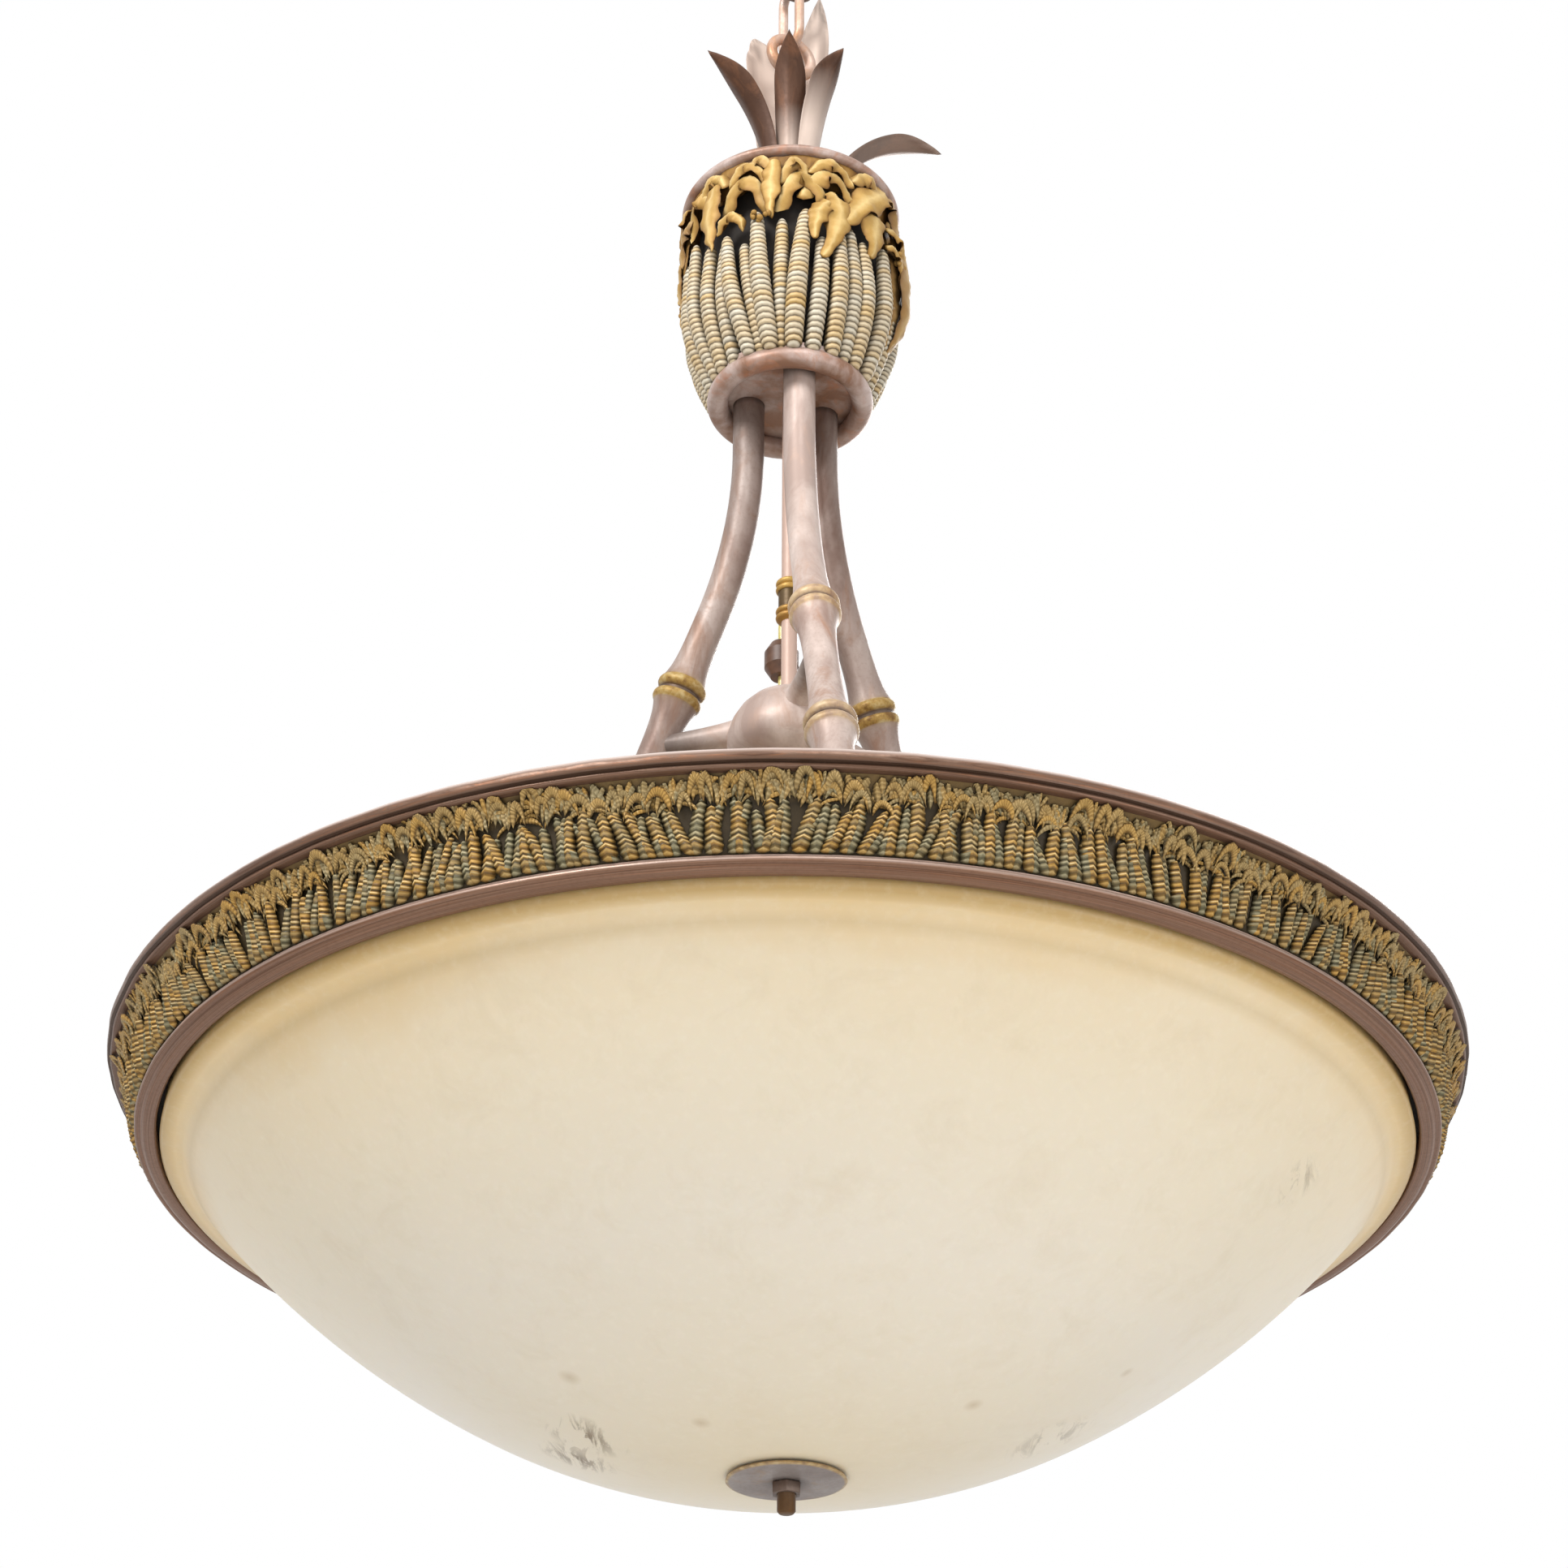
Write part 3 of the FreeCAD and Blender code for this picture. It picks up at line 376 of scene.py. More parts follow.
def tube(bm, spots, radii, sides=24, closed=False):
    rings = []
    count = len(spots)
    for index, spot in enumerate(spots):
        ahead = spots[(index + 1) % count] if closed or index < count - 1 else spot
        behind = spots[index - 1] if closed or index else spot
        facing = (ahead - behind).to_track_quat("Z", "Y").to_matrix().to_4x4()
        radius = radii[index] if isinstance(radii, list) else radii
        matrix = Matrix.Translation(spot) @ facing
        ring = bmesh.ops.create_circle(bm, segments=sides, radius=radius, matrix=matrix)["verts"]
        rings.append({edge for vert in ring for edge in vert.link_edges})
    pairs = list(zip(rings, rings[1:])) + ([(rings[-1], rings[0])] if closed else [])
    for first, second in pairs:
        bmesh.ops.bridge_loops(bm, edges=list(first | second))
    if not closed:
        for ring in (rings[0], rings[-1]):
            bmesh.ops.contextual_create(bm, geom=list(ring))


def bezier(spots, w):
    first, second, third, last = spots
    back = 1 - w
    here = first * back ** 3 + second * (3 * w * back * back) + third * (3 * w * w * back) + last * w ** 3
    run = (second - first) * back * back + (third - second) * (2 * w * back) + (last - third) * w * w
    return here, run.normalized()


def closing(w, share):
    rising, falling = min(w / share, 1), min((1 - w) / share, 1)
    return math.sqrt(1 - (1 - rising) ** 2) * math.sqrt(1 - (1 - falling) ** 2)


def outward(run, lean=0.0):
    face = Vector((0, math.cos(lean), math.sin(lean)))
    return (face - run * run.dot(face)).normalized()


# closed leaf blade along a curve: lens section, cupped across, narrow at the root and the tip
def blade(bm, spots, cut, facing=outward, gold=1.0):
    lift, along, gilt = pick(bm.verts.layers.float, "lift", "along", "gold")
    length = sum((spots[step + 1] - spots[step]).length for step in range(3))

    def spot(vert, u, w):
        here, run = bezier(spots, w)
        face = facing(run)
        turn = math.pi * u
        rising = math.sin(math.pi / 2 * min(w / cut["widest"], 1))
        falling = math.cos(math.pi / 2 * max(w - cut["widest"], 0) / (1 - cut["widest"]))
        swell = (cut["root"] + (1 - cut["root"]) * rising) * max(falling, cut["tip"])
        teeth = 1 + cut["teeth"] * math.cos(w * cut["turns"] * math.tau)
        ends = closing(w, cut["close"])
        wide = cut["half"] * swell * ends * teeth
        side = abs(math.cos(turn))
        ruffle = cut["ruffle"] * wide * side ** 2 * math.sin(w * 17 + (2 if math.cos(turn) > 0 else 0))
        bend = cut["cup"] * wide * side ** cut["fold"] - ruffle
        midrib = math.exp(-(math.cos(turn) * 5) ** 2)
        # painted highlight and shade: the outer face and the midrib are lighter, the underside darker
        vert[lift] = 0.22 + 0.55 * max(math.sin(turn), 0) + 0.2 * midrib
        vert[along] = w * length * mm
        vert[gilt] = gold
        rise = cut["thick"] * ends * math.sin(turn) - bend
        return here + run.cross(face) * wide * math.cos(turn) + face * rise

    gridOn(bm, cut["around"], cut["steps"], spot)


# closed palm trunk with swelling rings, thick at the foot and pointed at the head
def trunk(bm, foot, head, cut, gold):
    lift, along, gilt = pick(bm.verts.layers.float, "lift", "along", "gold")
    rings = max(4, round((head - foot).length / cut["pitch"]))

    def spot(vert, u, w):
        saw = math.sin(math.pi * ((w * rings) % 1.0))
        taper = 1.1 - cut["taper"] * w ** 1.5
        reach = cut["radius"] * taper * closing(w, cut["close"]) * (1 + cut["ridge"] * saw)
        # painted highlight on the ring crests, painted shade between the rings
        vert[lift] = 0.1 + 0.8 * saw ** 1.4
        vert[along] = w * (head - foot).length * mm
        vert[gilt] = max(0.0, min(1.0, gold + 0.9 * noise.noise((foot.x, int(w * rings) * 0.83, 2.0))))
        turn = math.pi * u
        here = foot.lerp(head, w) + Vector((cut["sway"] * math.sin(math.pi * w), 0, 0))
        return here + Vector((reach * math.sin(turn), reach * cut["flat"] * math.cos(turn), 0))

    gridOn(bm, cut["around"], rings * cut["rows"], spot)


def finishPiece(name, bm, mat, body, nodes=(), merge=0.0, sharp=50, place=None):
    if merge:
        bmesh.ops.remove_doubles(bm, verts=bm.verts, dist=merge)
    bmesh.ops.recalc_face_normals(bm, faces=bm.faces)
    if place:
        bmesh.ops.transform(bm, matrix=place, verts=bm.verts)
    bmesh.ops.transform(bm, matrix=toRow, verts=bm.verts)
    for face in bm.faces:
        face.smooth = True
    mesh = bpy.data.meshes.new(name)
    bm.to_mesh(mesh)
    bm.free()
    piece = bpy.data.objects.new(name, mesh)
    bpy.context.scene.collection.objects.link(piece)
    mesh.materials.append(mats[mat])
    mesh.set_sharp_from_angle(angle=math.radians(sharp))
    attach(piece, body)
    if nodes:
        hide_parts(*nodes)


def arcPoints(middle, radius, first, last, count):
    turns = [math.radians(first + (last - first) * step / (count - 1)) for step in range(count)]
    return [(middle[0] + radius * math.cos(turn), middle[1] + radius * math.sin(turn)) for turn in turns]


def axisGap(spot):
    return math.hypot(spot.x, spot.y)


def fade(value, start, end):
    return max(0.0, min(1.0, (value - start) / (end - start)))


def stepped(value, steps, last):
    for limit, tone in steps:
        if value > limit:
            return tone
    return last


def ripple(bm, amount, scale):
    for vert in bm.verts:
        vert.co += vert.co.normalized() * amount * noise.noise(vert.co * scale)


def crumple(bm, amount, scale):
    for vert in bm.verts:
        vert.co += noise.noise_vector(vert.co * scale) * amount


# ring: two rims and the palm frieze between them
rimSet = {"steps": 288, "radius": 381.0, "bead": 5.5, "top": 1.0, "inner": 350.0, "flat": 368.0,
          "flange": -4.0, "groove": (378.4, -7.2), "lowBead": (377.2, -8.5), "lowBeadRadius": 1.5,
          "skirt": 362.5, "low": -10.0, "edge": 372.0}
# painted highlight along the top edge; painted shade on the bead's downward face, deepest in the groove
rimHighlightSteps = ((-1.4, 0.7), (-2.8, 0.3))  # a level and the tone above it
rimShadeSteps = ((-2.8, 0.0), (-6.3, 0.34), (-7.6, 0.75))


def rimHighlight(spot):
    return 0.0 if axisGap(spot) < rimSet["edge"] else stepped(spot.z, rimHighlightSteps, 0.0)


def buildUpperRim():
    bm = newMesh()
    inner, top, flange, skirt = pick(rimSet, "inner", "top", "flange", "skirt")
    middle = (rimSet["radius"] - rimSet["bead"], top - rimSet["bead"])
    outline = [(inner, flange), (inner, top), (rimSet["flat"], top)]
    outline += arcPoints(middle, rimSet["bead"], 90, -28, 10) + [rimSet["groove"]]
    outline += arcPoints(rimSet["lowBead"], rimSet["lowBeadRadius"], 50, -90, 6)
    outline += [(skirt, rimSet["low"]), (skirt, flange)]
    spun(bm, outline, rimSet["steps"])
    ripple(bm, 0.55, 0.045)
    tag(bm, bm.verts, reach=lambda vert: axisGap(vert.co) * mm, lift=lambda vert: rimHighlight(vert.co),
        shade=lambda vert: stepped(vert.co.z, rimShadeSteps, 0.3))
    finishPiece("upperRim", bm, "rim", "fixture", ["upper_rim"])


lowRimSet = {"foot": [(349.5, -46), (349.5, -50.6), (350, -51.6), (351, -52), (355.4, -52), (357, -51.3),
                      (357.8, -50.4), (358.1, -49.9)],
             "bead": (359.7, -48.3), "beadRadius": 1.8, "top": (360.4, -46), "edge": 360.0,
             "highlightLevel": -48.6}


def buildLowerRim():
    bm = newMesh()
    bead = arcPoints(lowRimSet["bead"], lowRimSet["beadRadius"], -125, 75, 9)
    spun(bm, lowRimSet["foot"] + bead + [lowRimSet["top"]], rimSet["steps"])
    ripple(bm, 0.25, 0.05)

    # painted highlight along the top of the outer bead
    def pale(vert):
        return 0.24 if vert.co.z > lowRimSet["highlightLevel"] and axisGap(vert.co) > lowRimSet["edge"] else 0.0

    tag(bm, bm.verts, reach=lambda vert: axisGap(vert.co) * mm, lift=pale)
    finishPiece("lowerRim", bm, "rim", "fixture", ["lower_rim"])


# each pair is the least and the most that a random draw gives
friezeSet = {
    "low": -45.8, "wallLow": -46.0, "canopy": -22.0, "high": -10.2, "wallHigh": -10.1, "foot": 359.6,
    "wall": 366.0, "crest": 374.0, "rear": 357.0, "round": 370.0, "front": 230, "back": 290, "clumps": 176,
    "hanging": 1000, "sectors": 24, "seed": 11, "trunkHeight": (19, 28), "trunkRadius": (3.2, 3.9),
    "trunkSway": (-1.4, 1.4), "wave": 39.0, "waveLean": 7, "clumpRise": (22, 29), "fanLeaves": 9,
    "fanLength": (8.5, 13), "hangingDrop": (8, 13),
}
friezeTrunkCut = {"taper": 0.42, "ridge": 0.14, "pitch": 2.7, "rows": 2, "around": 4, "flat": 0.9,
                  "close": 0.2}
friezeFrondCut = {"root": 0.5, "tip": 0.25, "widest": 0.45, "close": 0.12, "thick": 0.95, "cup": 0.25,
                  "teeth": 0.0, "turns": 0, "ruffle": 0.0, "fold": 1.6, "around": 6, "steps": 8}


def friezeReach(up):
    if up < friezeSet["canopy"]:
        share = (up - friezeSet["wallLow"]) / (friezeSet["canopy"] - friezeSet["wallLow"])
        return friezeSet["foot"] + (friezeSet["wall"] - friezeSet["foot"]) * share
    share = (up - friezeSet["canopy"]) / (friezeSet["high"] - friezeSet["canopy"])
    return friezeSet["wall"] + (friezeSet["crest"] - friezeSet["wall"]) * share ** 1.6


def wrapFrieze(spot):
    up = min(spot.z, friezeSet["high"])
    reach = friezeReach(up) + spot.y
    turn = spot.x / friezeSet["round"]
    return Vector((reach * math.cos(turn), reach * math.sin(turn), up))


def friezeRow(bm, rng, numbers, count, depth, gold, size):
    length = math.tau * friezeSet["round"]
    for index in numbers:
        start = length * (index + rng.uniform(-0.22, 0.22)) / count
        height = rng.uniform(*friezeSet["trunkHeight"])
        lean = math.sin(start / friezeSet["wave"]) * friezeSet["waveLean"] + rng.uniform(-8, 8)
        foot = Vector((start, depth * 0.35, friezeSet["low"]))
        head = Vector((start + lean, depth * 0.8, friezeSet["low"] + height))
        radius = rng.uniform(*friezeSet["trunkRadius"]) * size
        cut = dict(friezeTrunkCut, radius=radius, sway=rng.uniform(*friezeSet["trunkSway"]))
        trunk(bm, foot, head, cut, gold + rng.uniform(-0.15, 0.15))


def friezeHook(bm, rng, start, foot, span, rise, drop, depth):
    spots = [Vector((start, depth, foot)), Vector((start + span * 0.1, depth + 2.2, foot + rise * 1.35)),
             Vector((start + span * 0.75, depth + 2.4, foot + rise * 1.3)),
             Vector((start + span, depth + 0.8, foot + rise - drop))]
    blade(bm, spots, dict(friezeFrondCut, half=rng.uniform(1.6, 2.5)), gold=rng.uniform(0.4, 1.0))


def friezeFan(bm, rng, start, foot, depth):
    for index in range(friezeSet["fanLeaves"]):
        turn = math.radians(-104 + 26 * index + rng.uniform(-9, 9))
        length = rng.uniform(*friezeSet["fanLength"])
        way = Vector((math.sin(turn), 0, math.cos(turn))) * length
        head = Vector((start, depth, foot))
        droop = Vector((0, -0.9, -rng.uniform(1.5, 5.5)))
        spots = [head, head + way * 0.4 + Vector((0, 1.3, 1.2)), head + way * 0.8 + Vector((0, 1.5, 0.8)),
                 head + way + droop]
        cut = dict(friezeFrondCut, half=rng.uniform(1.0, 1.5), thick=0.7, around=5, steps=6)
        blade(bm, spots, cut, gold=rng.uniform(0.3, 1.0))


def friezeHanging(bm, rng, start):
    slant = rng.uniform(-8, 8)
    drop = rng.uniform(*friezeSet["hangingDrop"])
    head = Vector((start, 0.4, friezeSet["high"] - rng.uniform(0.2, 3)))
    spots = [head, head + Vector((slant * 0.2, 2.4, -drop * 0.2)),
             head + Vector((slant * 0.7, 3.6, -drop * 0.6)), head + Vector((slant, 2.0, -drop))]
    cut = dict(friezeFrondCut, half=rng.uniform(1.5, 2.4), thick=0.9, around=5, steps=5)
    blade(bm, spots, cut, gold=rng.uniform(0.1, 0.8))


def inSector(count, sector):
    return range(count * sector // friezeSet["sectors"], count * (sector + 1) // friezeSet["sectors"])


# small meshes joined at the end are much quicker than one growing mesh
def joinSectors(fill):
    whole = newMesh()
    for sector in range(friezeSet["sectors"]):
        part = newMesh()
        fill(part, sector)
        for vert in part.verts:
            vert.co = wrapFrieze(vert.co)
        bmesh.ops.remove_doubles(part, verts=part.verts, dist=0.004)
        mesh = bpy.data.meshes.new("sector")
        part.to_mesh(mesh)
        part.free()
        whole.from_mesh(mesh)
        bpy.data.meshes.remove(mesh)
    return whole


def buildFriezeTrunks(rng):
    # each row: how many, depth, gilding and size
    rows = ((friezeSet["back"], 1.0, 0.12, 1.0), (friezeSet["front"], 2.9, 0.8, 1.04))

    def fill(part, sector):
        for count, depth, gold, size in rows:
            friezeRow(part, rng, inSector(count, sector), count, depth, gold, size)

    bm = joinSectors(fill)
    before = set(bm.verts)
    low, high, rear = pick(friezeSet, "wallLow", "wallHigh", "rear")
    outline = [(friezeReach(up), up) for up in (low, -34, friezeSet["canopy"], -17, -13, high)]
    spun(bm, outline + [(rear, high), (rear, low)], 192)
    # painted shade on the wall behind the trunks, lighter near the top under the rim
    tag(bm, [vert for vert in bm.verts if vert not in before], lift=0.42, gold=0.7,
        shade=lambda vert: 0.35 if vert.co.z > -18 else 0.9)
    finishPiece("friezeTrunks", bm, "frieze", "fixture", ["frieze_casting"], sharp=120)


def buildFriezeFronds(rng):
    length = math.tau * friezeSet["round"]

    def fill(part, sector):
        for index in inSector(friezeSet["clumps"], sector):
            start = length * (index + rng.uniform(-0.25, 0.25)) / friezeSet["clumps"]
            foot = friezeSet["low"] + rng.uniform(*friezeSet["clumpRise"])
            friezeFan(part, rng, start, foot, rng.uniform(0.6, 2.4))
            for side in (-1, 1):
                friezeHook(part, rng, start + rng.uniform(-3, 3), foot - rng.uniform(1, 5),
                           side * rng.uniform(6, 13), rng.uniform(6, 10), rng.uniform(5, 14),
                           rng.uniform(1.4, 3.4))
        for index in inSector(friezeSet["hanging"], sector):
            friezeHanging(part, rng, length * (index + rng.uniform(-0.4, 0.4)) / friezeSet["hanging"])

    finishPiece("friezeFronds", joinSectors(fill), "frieze", "fixture")


def buildFrieze():
    rng = random.Random(friezeSet["seed"])
    buildFriezeTrunks(rng)
    buildFriezeFronds(rng)


# bowl of mottled glass with a turned step below its edge
bowlSet = {"steps": 224, "hole": 8.0, "flat": 30.0, "floorRound": 395.0, "waist": 190.0, "waistRise": 47.6,
           "flankRound": 545.0, "lip": 335.0, "shoulder": [(340.5, -56.9), (345.4, -55.4), (347.2, -53.4)],
           "groove": (328.0, 331.5), "floorWall": 5.6, "wallDraw": 1.6, "sideWall": 4.3}


# outer face: flat at the hole, a round floor, then a flatter flank up to the lip
def bowlOuter(low):
    flat, floorRound, flankRound = pick(bowlSet, "flat", "floorRound", "flankRound")
    floorMiddle = low + math.sqrt(floorRound ** 2 - flat ** 2)
    slope = math.asin(bowlSet["waist"] / floorRound)
    flankMiddle = (bowlSet["waist"] - flankRound * math.sin(slope),
                   low + bowlSet["waistRise"] + flankRound * math.cos(slope))
    flatTurn = math.degrees(math.asin(flat / floorRound)) + 0.3 - 90
    waistTurn = math.degrees(slope) - 90
    lipTurn = math.degrees(math.asin((bowlSet["lip"] - flankMiddle[0]) / flankRound)) - 90
    outer = [(bowlSet["hole"], low), (flat, low)]
    outer += arcPoints((0, floorMiddle), floorRound, flatTurn, waistTurn, 22)
    return outer + arcPoints(flankMiddle, flankRound, waistTurn, lipTurn, 30)[1:]


def bowlInner(spot):
    share = spot[0] / bowlSet["lip"]
    reach = max(spot[0] - bowlSet["sideWall"] * share, bowlSet["hole"])
    return reach, spot[1] + bowlSet["floorWall"] - bowlSet["wallDraw"] * share


def buildBowl():
    low, top = level("glass_bowl", False), level("glass_bowl")
    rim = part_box("glass_bowl")[1][0] / mm
    outer = bowlOuter(low)
    first, last = bowlSet["groove"]
    outline = [(reach - 0.25, up + 0.2) if first < reach < last else (reach, up) for reach, up in outer]
    outline += bowlSet["shoulder"] + [(rim - 0.4, top - 8), (rim - 0.3, top - 2), (rim - 1.5, top)]
    outline += [(rim - 5, top), (rim - 7, top - 6)] + [bowlInner(spot) for spot in reversed(outer)]
    bm = newMesh()
    spun(bm, outline, bowlSet["steps"])
    tag(bm, bm.verts, reach=lambda vert: axisGap(vert.co) / rim)
    finishPiece("glassBowl", bm, "glass", "bowl", ["glass_bowl"])


# cover disc, nut and rod end under the bowl
finialSet = {"hole": 5.4, "nutShade": 10.0, "nut": 8.5, "nutHole": 5.15, "nutEdge": 0.45, "rod": 5.0,
             "rodPale": -60.0}


def buildDisc():
    top, low, hole = level("cover_disc"), level("cover_disc", False), finialSet["hole"]
    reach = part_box("cover_disc")[1][0] / mm
    bm = newMesh()
    spun(bm, [(hole, low + 0.1), (14, low - 0.25), (reach - 2.2, low + 0.15), (reach - 0.7, low + 0.45),
              (reach, low + 1.1), (reach - 0.4, top - 0.2), (reach - 1.2, top), (hole, top)], 96)
    # painted shade on the disc around the nut
    tag(bm, bm.verts, gold=lambda vert: 0.55 if axisGap(vert.co) > reach - 1.0 else 0.0,
        shade=lambda vert: 0.55 if axisGap(vert.co) < finialSet["nutShade"] else 0.0)
    finishPiece("coverDisc", bm, "disc", "bowl", ["cover_disc"])


def buildNut():
    top, low = level("finial_nut"), level("finial_nut", False)
    bm = newMesh()
    foot = Matrix.Translation((0, 0, low))
    bmesh.ops.create_circle(bm, segments=6, radius=finialSet["nut"], cap_ends=False, matrix=foot)
    bmesh.ops.create_circle(bm, segments=24, radius=finialSet["nutHole"], cap_ends=False, matrix=foot)
    bmesh.ops.triangle_fill(bm, edges=list(bm.edges), use_beauty=True)
    body = bmesh.ops.extrude_face_region(bm, geom=list(bm.faces))["geom"]
    raised = [item for item in body if isinstance(item, bmesh.types.BMVert)]
    bmesh.ops.translate(bm, vec=(0, 0, top - low), verts=raised)
    sharp = [edge for edge in bm.edges if len(edge.link_faces) == 2 and edge.calc_face_angle(0) > 0.8]
    bmesh.ops.bevel(bm, geom=sharp, offset=finialSet["nutEdge"], segments=2, profile=0.5, affect="EDGES",
                    material=-1)
    finishPiece("finialNut", bm, "dark", "finial", ["finial_nut"])


# inside the bowl the rod's finish changes from brown to the arms' pale bronze
def buildRod():
    low, top = level("center_rod", False), level("center_rod")
    reach, change = finialSet["rod"], finialSet["rodPale"]
    bm = newMesh()
    spun(bm, [(0.01, low), (3.6, low), (4.1, low + 0.3), (reach, low + 1.4), (reach, change),
              (reach, change + 4), (reach, top), (0.01, top)], 40, False)
    tag(bm, bm.verts, lift=lambda vert: 1.0 if vert.co.z > change + 2 else 0.0)
    finishPiece("centerRod", bm, "rod", "fixture", ["center_rod"], 0.02)


# arms: bamboo with flared joints, each joint ringed twice in gold
armSet = {"top": 514.0, "bendLevel": 468.0, "reach": 28.7, "bend": 350.0, "slope": 21.0, "lowBend": 80.0,
          "foot": -12.0, "radius": 10.4, "nodes": (289.0, 180.0, 71.0), "bearing": -78.0, "steps": 600,
          "around": 28, "groove": 1.3, "ring": 7.0, "flare": 4.0, "gilding": (0.5, 1.0, 1.0)}


def armLine(count):
    slope = math.radians(armSet["slope"])
    top, foot, reach, bend, lowBend = pick(armSet, "top", "foot", "reach", "bend", "lowBend")
    bendOut = reach + bend * (1 - math.cos(slope))
    bendLow = armSet["bendLevel"] - bend * math.sin(slope)
    slopeLow = foot + lowBend * math.sin(slope)
    footOut = bendOut + (bendLow - slopeLow) * math.tan(slope) + lowBend * (1 - math.cos(slope))
    spots = []
    for step in range(count + 1):
        up = top + (foot - top) * step / count
        if up > armSet["bendLevel"]:
            out = reach
        elif up > bendLow:
            out = reach + bend * (1 - math.cos(math.asin((armSet["bendLevel"] - up) / bend)))
        elif up > slopeLow:
            out = bendOut + (bendLow - up) * math.tan(slope)
        else:
            out = footOut - lowBend * (1 - math.cos(math.asin((up - foot) / lowBend)))
        spots.append(Vector((out, 0, up)))
    return spots


# swelling, gilding and painted shade in the groove at a level
def jointSwell(up):
    gap = min(abs(up - node) for node in armSet["nodes"]) / math.cos(math.radians(armSet["slope"]))
    past = gap - armSet["groove"]
    if past < 0:
        return 2.4, 0.15, 0.7
    if past < armSet["ring"]:
        return 3.6 + 2.0 * math.sin(math.pi * past / armSet["ring"]) ** 0.6, 1.0, 0.0
    beyond = past - armSet["ring"]
    return armSet["flare"] * math.exp(-beyond / 10), 0.3 * math.exp(-beyond / 2.0), 0.0


# painted shade: every arm darkens just under the base plate, the two rear arms stand deeper in the shade of
# the urn, and the front arm darkens low down
def topShade(up, index):
    near = 0.8 * fade(up, 496, 508)
    far = 0.32 + 0.23 * fade(up, 370, 490) if index else 0.12 * fade(up, 270, 210)
    return max(near, far)


# painted light: the front arm's upper half is painted paler
def frontArmLight(up, index):
    return 0.0 if index else 0.25 * fade(up, 270, 340)


def buildArms():
    count = armSet["steps"]
    line = armLine(count)
    for index in range(3):
        bm = newMesh()
        gold, shade, lift = pick(bm.verts.layers.float, "gold", "shade", "lift")

        def spot(vert, u, w):
            place = min(int(w * count + 0.5), count)
            here = line[place]
            ahead = (line[min(place + 1, count)] - line[max(place - 1, 0)]).normalized()
            out = Vector((-ahead.z, 0, ahead.x))
            swell, gilt, groove = jointSwell(here.z)
            vert[gold] = gilt * armSet["gilding"][index]
            vert[shade] = max(groove, topShade(here.z, index))
            vert[lift] = frontArmLight(here.z, index)
            reach = (armSet["radius"] + swell) if 0 < place < count else 0
            turn = math.pi * u
            return here + out * reach * math.cos(turn) + Vector((0, 1, 0)) * reach * math.sin(turn)

        gridOn(bm, armSet["around"], count, spot)
        turn = Matrix.Rotation(math.radians(armSet["bearing"] + 120 * index), 4, "Z")
        nodes = ["arm_%d" % (index + 1), "arm_collars_%d" % (index + 1)]
        finishPiece("bambooArm%d" % (index + 1), bm, "bamboo", "fixture", nodes, 0.01, place=turn)


# urn: a core painted near black as the shade between the trunks, ringed palm trunks, arching fronds and fruit
urnSet = {"low": 513.5, "high": 658.5, "foot": 506.5, "round": 70.0, "front": 270, "seed": 4,
          "waist": 50.5, "bulge": 18.5, "bulgeRise": 60.0, "flare": 2.0, "flareLevel": 575.0,
          "flareRise": 80.0, "trunkRadius": (6.1, 7.0), "trunkSway": (-1.5, 1.5),
          "trunkGilding": (0.25, 0.55)}
urnTrunkCut = {"taper": 0.56, "ridge": 0.1, "pitch": 3.7, "rows": 4, "around": 12, "flat": 0.95,
               "close": 0.09}
# each trunk: bearing of its foot and head from the front, level of its head, depth
urnTrunkSpots = [
    (-84, -78, 610, 0.0), (-67, -62, 612, 1.5), (-58, -49, 600, 0.0), (-46, -39, 596, -1.5),
    (-30, -36, 598, 2.0), (-22, -27, 590, -2.5), (-14, -18, 610, 2.0), (-7, -5, 606, -3.0), (2, 8, 610, 2.5),
    (16, 17, 590, 0.5), (31, 27, 598, 1.5), (42, 34, 606, -1.0), (52, 42, 598, 1.0), (67, 59, 606, 1.5),
    (82, 68, 614, -1.0),
]
urnFrondCut = {"root": 0.65, "widest": 0.5, "close": 0.1, "thick": 1.1, "teeth": 0.12, "turns": 3.5,
               "fold": 1.2, "around": 16, "steps": 34}
